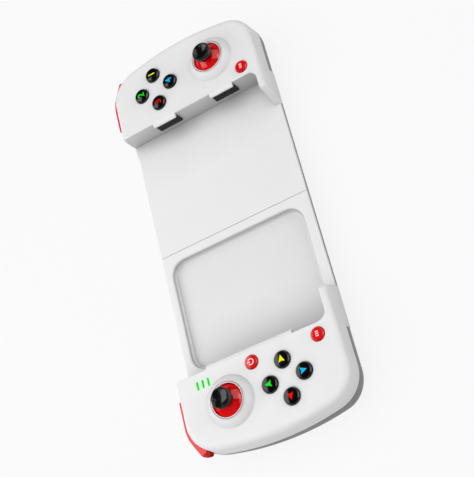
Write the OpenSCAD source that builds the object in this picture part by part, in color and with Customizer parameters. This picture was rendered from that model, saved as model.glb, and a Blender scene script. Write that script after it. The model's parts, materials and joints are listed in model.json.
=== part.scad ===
// Stretch game controller for a phone: two grips on a sprung slide, lying on its back.
// X runs along the phone and +X is the face-button grip, +Y is the shoulder-button side,
// and Z points out of the face. The origin is the middle of the underside.

/* [Phone bay] */
// Clear length between the clamp walls when the slide is closed
bay_len = 137; // [132:1:146]
// Travel of the slide
slide_travel = 40; // [30:1:41]
// Seam between the two halves of the tray, from the middle
seam_x = 1.5; // [0:0.5:3]
// Lower edge of the tray
tray_y_lo = -44.6; // [-46:0.2:-44]
// Upper edge of the tray
tray_y_hi = 40.4; // [39.5:0.1:41]
// Height of the tray above the surface that the controller lies on
tray_z = 13; // [12.6:0.1:14]
// Thickness of the tray plate
plate_t = 1.4; // [1.2:0.1:1.6]
// Depth of the slide trough below the tray
trough_depth = 8; // [7.8:0.1:8.6]
// Bevel along the lower edge of the trough
bevel_lo = 4.6; // [3:0.1:5]
// Bevel along the shoulder edge of the trough
bevel_hi = 3.4; // [2:0.1:3.6]

/* [Grips] */
// Length of a grip beyond its clamp wall
grip_len = 41.3; // [40:0.1:44]
// Lower side of the grips
grip_y_lo = -45.2; // [-47:0.1:-45]
// Upper side of the grips
grip_y_hi = 41.6; // [41:0.1:43]
// Height of the face above the tray
face_h = 13.5; // [13:0.1:14.5]
// Outer corner radius on the lower side
corner_lo = 16; // [12:0.5:18]
// Outer corner radius on the shoulder side
corner_hi = 17; // [14:0.5:18]
// Radius of the slightly bowed outer end
end_bow = 140; // [110:5:250]
// Rounding where the face meets the sides
edge_r = 3; // [2:0.1:3.4]
// Draft of the sides up to the rounding
side_draft = 0.6; // [0.2:0.1:1]
// How far the clamp wall leans over the phone
wall_lean = 1; // [0.4:0.1:1.4]
// Wall thickness of the shells
wall = 1.8; // [1.4:0.1:2]
// Thickness of the face
face_t = 1.6; // [1.2:0.1:1.8]
// Height of the parting line of the grips above the tray
split_h = 3.4; // [3:0.1:3.8]
// Height above the tray where the sides begin to round into the back
back_h = 2; // [1.6:0.1:2.4]
// How far the back draws in below the shoulder buttons
back_taper = 7; // [4:0.5:9]
// How far the back draws in towards the tray, for each millimetre that it draws in at the sides
back_slant = 0.7; // [0.5:0.05:0.9]
// How far the back draws in at the outer end, for each millimetre that it draws in at the sides
back_end = 0.8; // [0.7:0.05:1]

/* [Clamp] */
// Reach of the right side guard along its top
right_guard_len = 10; // [8:0.5:14]
// Length of the right guard's sloped end
right_guard_ramp = 6; // [3:0.5:8]
// Reach of the left side guard along its top
left_guard_len = 15; // [12:0.5:16]
// Length of the left guard's sloped end
left_guard_ramp = 3; // [2:0.5:5]
// Thickness of the guards
guard_t = 2.7; // [2.2:0.1:3]
// Fillet between a guard and its clamp wall
guard_fillet = 4.5; // [3:0.5:5]
// Reach of the lips over the pads
lip_reach = 2; // [1.4:0.1:2.4]
// Height of the rubber pads
pad_h = 6; // [5:0.1:6.4]
// Height of the pads' lower edge above the tray
pad_low = 5; // [4:0.1:5.4]
// Width of each right pad
right_pad_w = 13.6; // [11:0.1:15]
// Width of the left pad
left_pad_w = 46.4; // [40:0.2:50]
// How far the pads stand out of the wall
pad_proud = 1.2; // [0.8:0.1:1.5]

/* [Camera pocket] */
// Length of the pocket
pocket_len = 59; // [50:1:60]
// Rim between the pocket and the seam
pocket_rim = 4.9; // [4:0.1:6]
// Rim on the lower side
pocket_rim_lo = 5.5; // [4.5:0.1:7]
// Rim on the shoulder side
pocket_rim_hi = 4; // [3.5:0.1:6]
// Corner radius of the pocket
pocket_r = 8; // [5:0.5:10]
// Width of the ledge round the pocket
pocket_ledge = 1.2; // [0.6:0.1:1.8]
// Depth of the ledge
ledge_depth = 2; // [1.4:0.1:2.4]

/* [Controls] */
// Distance of the stick and button column from the clamp wall
column = 19; // [18:0.1:20]
// Height of the left stick's centre
left_stick_y = 14.6; // [13:0.1:16]
// Height of the left button group's centre
left_pad_y = -15.3; // [-17:0.1:-14]
// Height of the right stick's centre
right_stick_y = -19.5; // [-21:0.1:-18]
// Height of the right button group's centre
right_pad_y = 14.3; // [13:0.1:15]
// Diameter of the round action buttons
button_d = 7.8; // [7.4:0.1:8.4]
// Centre of the group to a button's centre
button_pitch = 8.8; // [8.4:0.1:9.4]
// Height of the action buttons above the face
button_proud = 1.6; // [1.2:0.1:2]
// Press travel of every button
button_travel = 1; // [0.6:0.1:1.1]
// Diameter of the small red buttons
small_d = 6.5; // [6:0.1:7.2]
// Height of the small buttons above the face
small_proud = 1; // [0.6:0.1:1.2]
// Distance of the small buttons from the clamp wall
small_in = 5.6; // [5.3:0.1:6.2]
// Place of the home button along the wall
home_y = -0.3; // [-2:0.1:2]
// Place of the function buttons along the wall
function_y = -34.8; // [-35.4:0.1:-33]

/* [Sticks] */
// Radius of the red dome
dome_r = 11; // [10.8:0.1:11.3]
// Thickness of the dome
dome_t = 1; // [0.8:0.1:1.1]
// Diameter of the stick cap
cap_d = 10.1; // [9:0.1:10.6]
// Thickness of the cap
cap_h = 3.1; // [2.6:0.1:3.6]
// Height of the trim ring above the face
ring_top = 3.6; // [3.2:0.1:3.8]
// Inner diameter of the trim ring
ring_in_d = 15.8; // [15.2:0.1:16.2]
// Width of the trim ring
ring_w = 0.9; // [0.7:0.05:1]
// Diameter of the collar where it meets the face
collar_d = 25.4; // [24:0.1:26]
// Diameter of the stick shaft
shaft_d = 3; // [2.6:0.1:3.2]
// Press travel of a stick
stick_press = 0.5; // [0.3:0.05:0.6]

/* [Shoulder buttons] */
// Start of the bumper from the clamp wall
bumper_start = 8.7; // [8:0.1:10]
// Place where the bumper ends round the corner
bumper_end_y = 33.5; // [32:0.1:35]
// How far the bumper stands out of the grip at its end
bumper_proud = 3; // [2.4:0.1:3.4]
// How far the bumper stands out along the side
bumper_thin = 1.4; // [1:0.1:1.8]
// Length over which the bumper swells towards its end
bumper_swell = 7.5; // [5:0.5:12]
// How far the bumper follows the corner, in degrees
bumper_turn = 53; // [46:1:56]
// Slant of the bumper's end, in degrees
bumper_slant = 24; // [10:1:30]
// Height of the bumper
bumper_h = 5.6; // [5:0.1:5.8]
// Press travel of the bumper
bumper_travel = 0.9; // [0.5:0.05:1]
// Start of the trigger from the clamp wall
trigger_start = 15.5; // [15:0.1:16.5]
// Width of the trigger
trigger_w = 15; // [12:0.5:15.5]
// Diameter of the trigger pin
pin_d = 2; // [1.6:0.1:2.2]

/* [Indicator lights] */
// Length of a light bar
led_len = 4.2; // [3:0.1:4.4]
// Width of a light bar
led_w = 1.1; // [0.8:0.05:1.4]
// Spacing of the light bars
led_pitch = 2.95; // [2.4:0.05:3.1]
// Place of the middle light bar along the wall
led_y = 26.25; // [25.8:0.05:27]

/* [Clearances] */
// Gap round a button in its bore
button_gap = 0.15; // [0.1:0.01:0.25]
// Gap above and below the sliding plate
slide_gap = 0.3; // [0.2:0.05:0.35]
// Gap between fixed pieces that seat in each other
seat_gap = 0.05; // [0.02:0.01:0.1]
// Gap round the shoulder buttons
shoulder_gap = 0.3; // [0.2:0.05:0.4]
// Radial gap of a running pin
pin_gap = 0.05; // [0.02:0.01:0.08]

/* [Hidden] */
$fn = 48;

white = [0.93, 0.93, 0.93];
light_grey = [0.8, 0.8, 0.81];
dark_grey = [0.27, 0.27, 0.28];
red = [0.85, 0.02, 0.02];
black = [0.04, 0.04, 0.045];
green = [0, 0.8, 0.08];
board_green = [0.05, 0.3, 0.16];
steel = [0.7, 0.71, 0.73];

cut = 0.1;
far = 60;
wall_x = bay_len / 2;
end_x = wall_x + grip_len;
face_z = tray_z + face_h;
split_z = tray_z + split_h;
back_r = tray_z + back_h;
roof_z = face_z - face_t;
rim_z = tray_z - plate_t;
trough_z = tray_z - trough_depth;
stick_x = wall_x + column;
small_x = wall_x + small_in;

// Levels of the slide: trough floor, sliding plate and pocket floor
trough_wall = 1.3;
trough_floor = 1.2;
slider_t = 1.2;
floor_z = trough_z + trough_floor;
slider_z = floor_z + slide_gap;
slider_top = slider_z + slider_t;
pocket_under = slider_top + slide_gap;
pocket_floor_t = 1.2;
pocket_floor_z = pocket_under + pocket_floor_t;
pocket_wall = 1.2;
rim_gap = 0.2;
seam_gap = 0.12;
bevel_in = trough_wall * sqrt(2);
slider_inset = bevel_in - trough_floor + slide_gap;
post_x = seam_x + slide_travel + 3.5;
trough_end = post_x + 9;
skirt_start = trough_end + 0.4;
neck_len = 4.6;
slider_end = seam_x - slide_travel - 19.5;
anchor_x = wall_x - 2.5;
post_d = 2.4;
spring_y = 25;
spring_d = 3;
spring_wire = 0.5;
spring_turns = 9;
ribbon_w = 9;

// Depth of the pads' seat in the wall
pad_seat = 1;

// Levels inside the grips
strip_t = 2.4;
board_t = 1.4;
board_z = back_r - board_t - 0.2;
board_top = board_z + board_t;
sheet_t = 0.7;
sheet_top = board_top + sheet_t;
flange_gap = 0.2;
flange_t = 1.2;
flange_over = 0.9;
flange_z = roof_z - flange_gap - flange_t;
small_flat = 2.1;
stem_len = 3.1;
stem_end = flange_z - stem_len;
dome_top = stem_end - button_travel - 0.2;
screw_d = 2;
boss_d = 4.8;
screw_head_d = 3.6;
screw_head_h = 1.6;
well_floor = 8;
bottom_t = wall;

// Stick levels: the dome turns about the pivot and clears the trim ring at every tilt
ring_h = 1.1;
ring_z = face_z + ring_top - ring_h;
ring_in_r = ring_in_d / 2;
ring_out_r = ring_in_r + ring_w;
dome_gap = 0.4;
pivot_z = ring_z - sqrt(pow(dome_r + dome_gap, 2) - pow(ring_in_r, 2));
dome_skirt = dome_r * cos(68);
cap_z = pivot_z + dome_r + 1.1;
module_half = 6.4;
module_wall = 1;
module_top = pivot_z + 3;
module_floor_t = 0.8;
yoke_out = 4.8;
yoke_in = 3.3;
yoke_h = 2.2;
trunnion_d = 1.6;
rocker_half_x = 2.7;
rocker_half_y = 2.9;
rocker_pin_d = 1.4;

// Shoulder levels
bumper_z = split_z + 0.6;
bumper_top = bumper_z + bumper_h;
bumper_in = wall + 1.9;
trigger_out = 4.2;
bumper_flange = 0.8;
trigger_x = wall_x + trigger_start;
pin_y = grip_y_hi - 7.6;
pin_z = tray_z - 0.8;
pin_boss_d = 4.6;
pin_rib = 2;

// Places of the screws in a grip, measured from the clamp wall
screw_places = [
  [wall_x + 12, grip_y_hi - 14.4], [end_x - 8, grip_y_hi - 17.6],
  [wall_x + 14.5, grip_y_lo + 8], [end_x - 9.9, grip_y_lo + 12.1]
];
slider_screws = [for (y = [tray_y_hi - 10.4, tray_y_lo + 10.6]) [(skirt_start + wall_x) / 2, y]];

// Points of a circular arc
function arc(c, r, a0, a1, n) =
  [for (i = [0 : n]) let (a = a0 + (a1 - a0) * i / n) c + r * [cos(a), sin(a)]];

// Points strictly inside an arc
function arc_inside(c, r, a0, a1, n) =
  [for (i = [1 : n - 1]) let (a = a0 + (a1 - a0) * i / n) c + r * [cos(a), sin(a)]];

// Outline of a right-hand grip: inner edge, bowed end, and a radius at each corner
function grip_outline(x_in, x_end, lo, hi, r_lo, r_hi, r_in) =
  let (
    mid = (lo + hi) / 2,
    c0 = [x_end - end_bow, mid],
    c_hi = [c0.x + sqrt(pow(end_bow - r_hi, 2) - pow(hi - r_hi - mid, 2)), hi - r_hi],
    c_lo = [c0.x + sqrt(pow(end_bow - r_lo, 2) - pow(lo + r_lo - mid, 2)), lo + r_lo],
    a_hi = atan2(c_hi.y - c0.y, c_hi.x - c0.x),
    a_lo = atan2(c_lo.y - c0.y, c_lo.x - c0.x)
  )
  concat(
    arc([x_in + r_in, hi - r_in], r_in, 180, 90, 3),
    arc(c_hi, r_hi, 90, a_hi, 8),
    arc_inside(c0, end_bow, a_hi, a_lo, 6),
    arc(c_lo, r_lo, a_lo, -90, 8),
    arc([x_in + r_in, lo + r_in], r_in, 270, 180, 3)
  );

// Outline of a grip drawn in evenly by d
function grip_inset(d, x_in, r_in = 1.2) =
  grip_outline(x_in, end_x - d, grip_y_lo + d, grip_y_hi - d, corner_lo - d, corner_hi - d, r_in);

// Solid through a stack of outlines that have the same number of points
module loft(outlines, heights) {
  n = len(outlines[0]);
  last = len(outlines) - 1;
  points = [for (k = [0 : last]) for (p = outlines[k]) [p.x, p.y, heights[k]]];
  sides = [
    for (k = [0 : last - 1]) for (i = [0 : n - 1])
      let (j = (i + 1) % n) [k * n + i, k * n + j, (k + 1) * n + j, (k + 1) * n + i]
  ];
  bottom = [for (i = [n - 1 : -1 : 0]) i];
  top = [for (i = [0 : n - 1]) last * n + i];
  polyhedron(points = concat(points), faces = concat([bottom], sides, [top]), convexity = 6);
}

// Rectangle with round corners, given by two opposite corners
module round_rect(a, b, r) {
  translate([a.x + r, a.y]) square([b.x - a.x - 2 * r, b.y - a.y]);
  translate([a.x, a.y + r]) square([b.x - a.x, b.y - a.y - 2 * r]);
  for (x = [a.x + r, b.x - r]) for (y = [a.y + r, b.y - r]) translate([x, y]) circle(r = r);
}

// Block between two corners
module block(a, b) {
  translate(a) cube(b - a);
}

// Prism along X of a shape drawn in Y and Z
module along_x(x0, x1) {
  translate([x0, 0, 0]) rotate([90, 0, 90]) linear_extrude(x1 - x0) children();
}

// Prism along Y of a shape drawn in X and Z
module along_y(y0, y1) {
  translate([0, y1, 0]) rotate([90, 0, 0]) linear_extrude(y1 - y0) children();
}

// The left half is built right-handed and mirrored
module left() {
  mirror([1, 0, 0]) children();
}

function lean_at(z) = wall_x + wall_lean * (face_z - z) / face_h;

// Outer form of a front shell: drafted sides and a rounded edge at the face
module front_form() {
  angles = [0, 22.5, 45, 67.5, 90];
  rounding = [for (a = angles) [face_z - edge_r * (1 - sin(a)), side_draft + edge_r * (1 - cos(a))]];
  levels = concat([[split_z, 0]], rounding);
  loft([for (l = levels) grip_inset(l[1], lean_at(l[0]))], [for (l = levels) l[0]]);
}

// Hollow of a front shell
module front_hollow() {
  knee = face_z - edge_r;
  levels = [[split_z - cut, wall], [knee, wall + side_draft], [roof_z, wall + side_draft + edge_r / 3]];
  inner = lean_at(split_z) + strip_t;
  loft([for (l = levels) grip_inset(l[1], inner)], [for (l = levels) l[0]]);
}

// Height and inset of the rounded back at angle a from the side to the bottom, t in from the outside
function back_z(a, t) = t + (back_r - t) * (1 - sin(a));
function back_d(a, t) = t + (back_r - t) * (1 - cos(a));

// One level of the rounded back, a quarter round that also draws in below the shoulder buttons
function back_level(a, t) =
  let (
    d = back_d(a, t),
    deep = (back_r - back_z(a, t)) / back_r
  )
  grip_outline(
    lean_at(tray_z) + back_slant * d, end_x - back_end * d, grip_y_lo + d, grip_y_hi - d - back_taper * deep,
    corner_lo - d, corner_hi - 0.95 * d, 1.2 + 3 * deep
  );

// Rounded back of a grip, t in from the outside and up to the parting line or just past it
module back_form(t, past = 0) {
  angles = [90, 75, 60, 45, 30, 15, 0];
  outlines = [for (a = angles) back_level(a, t)];
  heights = [for (a = angles) back_z(a, t)];
  loft(concat(outlines, [back_level(0, t)]), concat(heights, [split_z + past]));
}

// Outer section of the slide trough, with bevelled lower edges
module trough_section(low, high) {
  lo = tray_y_lo;
  hi = tray_y_hi;
  polygon([
    [lo + bevel_lo, low], [hi - bevel_hi, low], [hi, low + bevel_hi], [hi, high], [lo, high], [lo, low + bevel_lo]
  ]);
}

// Hollow of the trough from one X to another, with walls of even thickness
module trough_hollow(x0, x1, low) {
  lo = tray_y_lo;
  hi = tray_y_hi;
  rise = low - trough_z;
  knee = trough_z + bevel_in - trough_wall;
  along_x(x0, x1) polygon([
    [lo + bevel_lo + bevel_in - rise, low], [hi - bevel_hi - bevel_in + rise, low],
    [hi - trough_wall, knee + bevel_hi], [hi - trough_wall, far],
    [lo + trough_wall, far], [lo + trough_wall, knee + bevel_lo]
  ]);
}

// Section of a side guard, in line with the drafted and rounded side of the grip
module guard_section() {
  lo = grip_y_lo;
  knee = face_z - edge_r;
  outer = [for (a = [0 : 22.5 : 90]) [lo + side_draft + edge_r * (1 - cos(a)), knee + edge_r * sin(a)]];
  polygon(concat([[lo + guard_t + side_draft, rim_z], [lo, rim_z], [lo, split_z]], outer,
                 [[lo + guard_t + side_draft + edge_r / 3, face_z]]));
}

// Side guard that carries on from the grip and slopes down to the tray
module guard(reach, ramp) {
  tip = wall_x - reach;
  intersection() {
    along_x(tip - ramp, lean_at(tray_z) + 1) guard_section();
    along_y(grip_y_lo - 1, grip_y_lo + 8) polygon([
      [wall_x + 5, rim_z], [tip - ramp, rim_z], [tip - ramp, tray_z], [tip - 1, face_z - 1.2],
      [tip, face_z - 0.3], [tip + 1.5, face_z], [wall_x + 5, face_z]
    ]);
  }
  inner = grip_y_lo + side_draft + guard_t - 0.2;
  translate([0, 0, rim_z]) linear_extrude(face_z - rim_z) difference() {
    translate([wall_x - guard_fillet, inner]) square([guard_fillet + 0.8, guard_fillet]);
    translate([wall_x - guard_fillet, inner + guard_fillet]) circle(r = guard_fillet);
  }
}

// Lip over a pad
module lip(y, w) {
  along_y(y - w / 2, y + w / 2) polygon([
    [wall_x + 1, face_z], [wall_x, face_z], [wall_x - lip_reach, face_z - 0.9],
    [wall_x - lip_reach, face_z - 1.8], [wall_x, face_z - 2.2], [wall_x + 1, face_z - 2.2]
  ]);
}

// Rubber pad let into the clamp wall, or the recess for it
module pad_block(y, w, gap) {
  z = tray_z + pad_low;
  x = lean_at(z + pad_h / 2);
  block([x - pad_proud, y - w / 2 - gap, z - gap], [x + pad_seat + gap, y + w / 2 + gap, z + pad_h + gap]);
}

// Raised collar round a stick
module collar(y) {
  rise = ring_top - 0.1;
  top_r = ring_out_r + 0.15;
  slope = [for (a = [0 : 15 : 90]) [top_r + (collar_d / 2 - top_r) * cos(a), face_z + rise * sin(a)]];
  translate([stick_x, y, 0]) rotate_extrude() polygon(concat(
    [[0, roof_z], [collar_d / 2, roof_z]], slope, [[0, face_z + rise]]
  ));
}

// Room for the stick through the collar
module stick_room(y) {
  translate([stick_x, y, pivot_z]) {
    sphere(r = dome_r + dome_gap, $fn = 96);
    cylinder(r = ring_in_r + 0.15, h = far);
  }
  translate([stick_x, y, ring_z - seat_gap]) cylinder(r = ring_out_r + seat_gap, h = far);
}

// Places of the four buttons of a group: right, top, left, bottom
function group_place(y, i) = [stick_x, y] + button_pitch * [cos(90 * i), sin(90 * i)];

// Bore for a button of diameter d
module button_bore(p, d) {
  translate([p.x, p.y, roof_z - button_travel - 0.4]) cylinder(d = d + 2 * button_gap, h = far);
}

// Slot in the front shell for a bumper and its travel
module bumper_slot() {
  translate([0, 0, split_z - cut]) linear_extrude(bumper_top + shoulder_gap - split_z + cut) intersection() {
    difference() {
      polygon(grip_inset(-far / 4, wall_x));
      polygon(grip_inset(wall + 2, wall_x));
    }
    translate([wall_x + bumper_start - shoulder_gap, bumper_end_y - bumper_travel - shoulder_gap]) square(far);
  }
}

// Boss for a screw under the face
module front_boss(p) {
  translate([p.x, p.y, split_z]) difference() {
    cylinder(d = boss_d, h = roof_z - split_z + cut);
    translate([0, 0, -cut]) cylinder(d = screw_d + 2 * seat_gap, h = 5 + cut);
  }
}

// Foot of the clamp wall, from the tray's underside to the parting line
module wall_foot() {
  x = lean_at(split_z);
  translate([0, 0, rim_z]) linear_extrude(split_z + cut - rim_z) intersection() {
    polygon(grip_inset(0.05, x));
    translate([x - 1, -far]) square([strip_t + 1, 2 * far]);
  }
}

// Face, sides and clamp wall common to both front shells, right-handed
module front_grip(stick_y, pad_y) {
  difference() {
    union() {
      difference() {
        front_form();
        front_hollow();
      }
      wall_foot();
      collar(stick_y);
      for (p = screw_places) front_boss(p);
    }
    stick_room(stick_y);
    for (i = [0 : 3]) button_bore(group_place(pad_y, i), button_d);
    button_bore([small_x, function_y], small_d);
    bumper_slot();
  }
}

// Plate of the tray from one X to another
module tray_plate(x0, x1) {
  block([x0, tray_y_lo, rim_z], [x1, tray_y_hi, tray_z]);
}

// Outline of the camera pocket, drawn in by d, in left-hand coordinates
module pocket_outline(d) {
  a = [pocket_rim - seam_x + d, tray_y_lo + pocket_rim_lo + d];
  b = [pocket_rim - seam_x + pocket_len - d, tray_y_hi - pocket_rim_hi - d];
  round_rect(a, b, pocket_r - d);
}

// Light bars, drawn g larger
module led_bars(g, low, high) {
  for (i = [-1 : 1]) translate([small_x + 0.6, led_y + i * led_pitch, low]) linear_extrude(high - low) {
    square([led_len - led_w, led_w + 2 * g], center = true);
    for (s = [-1, 1]) translate([s * (led_len - led_w) / 2, 0]) circle(d = led_w + 2 * g);
  }
}

module left_front_shell() {
  color(white) left() difference() {
    union() {
      front_grip(left_stick_y, left_pad_y);
      difference() {
        tray_plate(-seam_x, lean_at(tray_z) + 0.5);
        translate([0, 0, rim_z - cut]) linear_extrude(plate_t + 2 * cut) pocket_outline(0);
      }
      difference() {
        translate([0, 0, pocket_under]) linear_extrude(tray_z - 0.4 - pocket_under) pocket_outline(-pocket_wall);
        translate([0, 0, tray_z - ledge_depth]) linear_extrude(far) pocket_outline(0);
        translate([0, 0, pocket_floor_z]) linear_extrude(far) pocket_outline(pocket_ledge);
      }
      guard(left_guard_len, left_guard_ramp);
      lip(0.2, left_pad_w);
    }
    pad_block(0.2, left_pad_w, seat_gap);
    button_bore([small_x, home_y], small_d);
    led_bars(seat_gap, roof_z - cut, far);
    usb_room();
  }
}

module right_front_shell() {
  color(white) difference() {
    union() {
      front_grip(right_stick_y, right_pad_y);
      tray_plate(seam_x + seam_gap, lean_at(tray_z) + 0.5);
      guard(right_guard_len, right_guard_ramp);
      for (y = [right_pad_y, right_stick_y - 1]) lip(y, right_pad_w);
      for (p = slider_screws) translate([p.x, p.y, slider_top]) difference() {
        cylinder(d = boss_d, h = rim_z - slider_top + cut);
        translate([0, 0, -cut]) cylinder(d = screw_d + 2 * seat_gap, h = 3);
      }
    }
    for (y = [right_pad_y, right_stick_y - 1]) pad_block(y, right_pad_w, seat_gap);
  }
}

// Side view of a trigger, in Y and Z: the paddle and the round boss of its pin
module trigger_section() {
  y = pin_y;
  z = pin_z;
  paddle = [
    [y + 8.2, z + pin_boss_d / 2], [y + 9, z + 0.4], [y + 9.2, z - 2], [y + 8.9, z - 4.4], [y + 8.4, z - 6.4],
    [y + 8.9, z - 8.6], [y + 6.8, z - 9.6], [y + 5.2, z - 7.2], [y + 4.2, z - 3.7], [y + 2.4, z - pin_boss_d / 2]
  ];
  polygon(concat(paddle, arc([y, z], pin_boss_d / 2, 270, 90, 12)));
}

// Room in the back for the trigger through its whole travel
module trigger_room() {
  g = shoulder_gap;
  along_x(trigger_x - g, trigger_x + trigger_w + g) polygon([
    [pin_y - 5, back_r + cut], [far, back_r + cut], [far, -cut], [pin_y - 1, -cut],
    [pin_y - 1, pin_z - 6], [pin_y - 5, pin_z - 4]
  ]);
}

// Sill behind the trigger that closes its room towards the inside, up to the board
module trigger_sill() {
  reach = shoulder_gap + pin_rib;
  along_x(trigger_x - reach, trigger_x + trigger_w + reach) polygon([
    [pin_y - 6.2, cut], [pin_y - 6.2, board_z - 0.3], [pin_y - 5, board_z - 0.3], [pin_y - 5, pin_z - 4],
    [pin_y - 1, pin_z - 6], [pin_y - 1, cut]
  ]);
}

// Hole for a screw from the back and the well of its head
module screw_hole(p) {
  translate([p.x, p.y, -cut]) cylinder(d = screw_head_d + 0.4, h = well_floor + cut);
  translate([p.x, p.y, 0]) cylinder(d = screw_d + 2 * seat_gap, h = far);
}

// Tower that carries a screw through the back
module rear_boss(p) {
  translate([p.x, p.y, cut]) cylinder(d = boss_d + 1, h = split_z - seat_gap - cut);
}

// Shell of the back of a grip with towers, trigger seat and the opening to the slide
module back_grip() {
  difference() {
    union() {
      difference() {
        back_form(0);
        back_form(wall, cut);
      }
      intersection() {
        back_form(0);
        union() {
          for (p = screw_places) rear_boss(p);
          for (x = [trigger_x - shoulder_gap - pin_rib, trigger_x + trigger_w + shoulder_gap])
            block([x, pin_y - 4, pin_z - 4], [x + pin_rib, pin_y + 1.6, back_r - 0.3]);
          trigger_sill();
        }
      }
    }
    block([wall_x - 4, tray_y_lo - 2, rim_z - rim_gap], [lean_at(tray_z) + strip_t + 0.2, tray_y_hi + 2, far]);
    trigger_room();
    translate([0, pin_y, pin_z]) rotate([0, 90, 0]) cylinder(d = pin_d + 2 * seat_gap, h = 2 * far);
    for (p = screw_places) screw_hole(p);
  }
}

// Neck that joins the trough to the grip
module trough_neck() {
  block([wall_x, board_lo + 4, trough_z], [wall_x + neck_len, board_hi - 4, rim_z - rim_gap]);
}

// Opening from the trough into the grip
module trough_mouth(low) {
  block([wall_x - cut, board_lo + 6, low], [wall_x + neck_len + cut, board_hi - 6, rim_z - 1.2]);
}

module left_rear_shell() {
  color(dark_grey) {
    difference() {
      union() {
        left() back_grip();
        left() trough_neck();
        difference() {
          along_x(-wall_x - 2, trough_end) trough_section(trough_z, rim_z - rim_gap);
          trough_hollow(-wall_x, trough_end + 1, floor_z);
        }
      }
      left() trough_mouth(floor_z);
      block([-wall_x - 8, -ribbon_w / 2 - 0.3, floor_z - 0.5], [post_x - 2.2, ribbon_w / 2 + 0.3, floor_z + cut]);
      left() usb_opening();
    }
    for (y = [-spring_y, spring_y]) translate([post_x, y, floor_z - cut])
      cylinder(d = post_d, h = rim_z - 0.7 - floor_z);
    block([post_x - 1, -ribbon_w / 2, floor_z - cut], [post_x + 1, ribbon_w / 2, slider_top + 0.9]);
  }
}

module right_rear_shell() {
  color(dark_grey) difference() {
    union() {
      back_grip();
      trough_neck();
      difference() {
        along_x(skirt_start, wall_x + 2) trough_section(trough_z, rim_z - seat_gap);
        trough_hollow(skirt_start - 1, wall_x, slider_z);
      }
    }
    trough_mouth(slider_z);
    for (p = slider_screws) {
      translate([p.x, p.y, 0]) cylinder(d = screw_d + 2 * seat_gap, h = far);
      translate([p.x, p.y, 0]) cylinder(d = screw_head_d + 0.2, h = trough_z + 0.7);
    }
  }
}

module stick_ring(y) {
  translate([stick_x, y, ring_z]) difference() {
    cylinder(r = ring_out_r, h = ring_h);
    translate([0, 0, -cut]) cylinder(r = ring_in_r, h = ring_h + 2 * cut);
  }
}

module left_stick_ring() {
  color(light_grey) left() stick_ring(left_stick_y);
}

module right_stick_ring() {
  color(light_grey) stick_ring(right_stick_y);
}

module led_light_bars() {
  color(green) left() {
    led_bars(0, roof_z - seat_gap - cut, face_z + 0.1);
    translate([small_x + 0.6, led_y, roof_z - seat_gap - 1]) linear_extrude(1)
      square([led_len, 2 * led_pitch + 2 * led_w], center = true);
  }
}

module left_clamp_pad() {
  color(black) left() pad_block(0.2, left_pad_w, 0);
}

module right_clamp_pads() {
  color(black) for (y = [right_pad_y, right_stick_y - 1]) pad_block(y, right_pad_w, 0);
}

// Circuit board of a grip, clear of the screw towers and the trigger
board_x0 = wall_x + 5;
board_x1 = end_x - 6;
board_lo = grip_y_lo + 7.2;
board_hi = pin_y - 4.2;

module board_outline(tongue = 0) {
  difference() {
    union() {
      round_rect([board_x0, board_lo], [board_x1, board_hi], 5);
      if (tongue > 0) translate([usb_x - 4, board_hi - 2]) square([8, tongue + 2]);
    }
    for (p = screw_places) translate(p) circle(d = boss_d + 2);
  }
}

// Charging socket under a tongue of the left board
usb_size = [8.94, 7.4, 3.26];
usb_gap = 0.2;
usb_x = trigger_x - shoulder_gap - pin_rib - 0.4 - usb_size.x / 2;
usb_z = board_z - usb_size.z - seat_gap;
usb_mouth = grip_y_hi - 3.6;

module left_main_board() {
  color(board_green) left() translate([0, 0, board_z]) linear_extrude(board_t)
    board_outline(usb_mouth - board_hi - 2);
}

module right_board() {
  color(board_green) translate([0, 0, board_z]) linear_extrude(board_t) board_outline();
}

// Section of the charging socket in X and Z, drawn g larger
module usb_section(g) {
  r = usb_size.z / 2 + g;
  w = usb_size.x - usb_size.z;
  translate([usb_x, usb_z + usb_size.z / 2]) {
    square([w, 2 * r], center = true);
    for (s = [-1, 1]) translate([s * w / 2, 0]) circle(r = r);
  }
}

module usb_opening() {
  along_y(usb_mouth - 3, far) usb_section(usb_gap);
}

// Room for the charging socket beside the clamp wall
module usb_room() {
  along_y(usb_mouth - usb_size.y - usb_gap, usb_mouth + usb_gap) usb_section(usb_gap);
}

module usb_c_port() {
  color(steel) left() difference() {
    along_y(usb_mouth - usb_size.y, usb_mouth) usb_section(0);
    along_y(usb_mouth - usb_size.y + 1, usb_mouth + 1) usb_section(-0.35);
  }
  color(black) left() block([usb_x - 3.3, usb_mouth - usb_size.y + 0.5, usb_z + usb_size.z / 2 - 0.35],
                            [usb_x + 3.3, usb_mouth - 1, usb_z + usb_size.z / 2 + 0.35]);
}

// Battery lying on the flat of the left back
battery_size = [12, 30, 6];
battery_place = [stick_x - battery_size.x / 2 - 1.4, grip_y_lo + back_r + 1.2, bottom_t + seat_gap];

module battery() {
  color(steel) left() translate(battery_place) linear_extrude(battery_size.z)
    round_rect([0, 0], [battery_size.x, battery_size.y], 2);
}

// Potentiometer housing of a stick, open at the top
module stick_module(y) {
  h = module_half;
  translate([stick_x, y, 0]) difference() {
    block([-h, -h, board_top], [h, h, module_top]);
    block([-h + module_wall, -h + module_wall, board_top + module_floor_t],
          [h - module_wall, h - module_wall, module_top - 0.5]);
    translate([0, 0, board_top + module_floor_t]) cylinder(r = 4, h = far);
    translate([-far, 0, pivot_z]) rotate([0, 90, 0]) cylinder(d = trunnion_d + 2 * pin_gap, h = 2 * far);
  }
}

module left_stick_module() {
  color(steel) left() stick_module(left_stick_y);
}

module right_stick_module() {
  color(steel) stick_module(right_stick_y);
}

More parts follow.
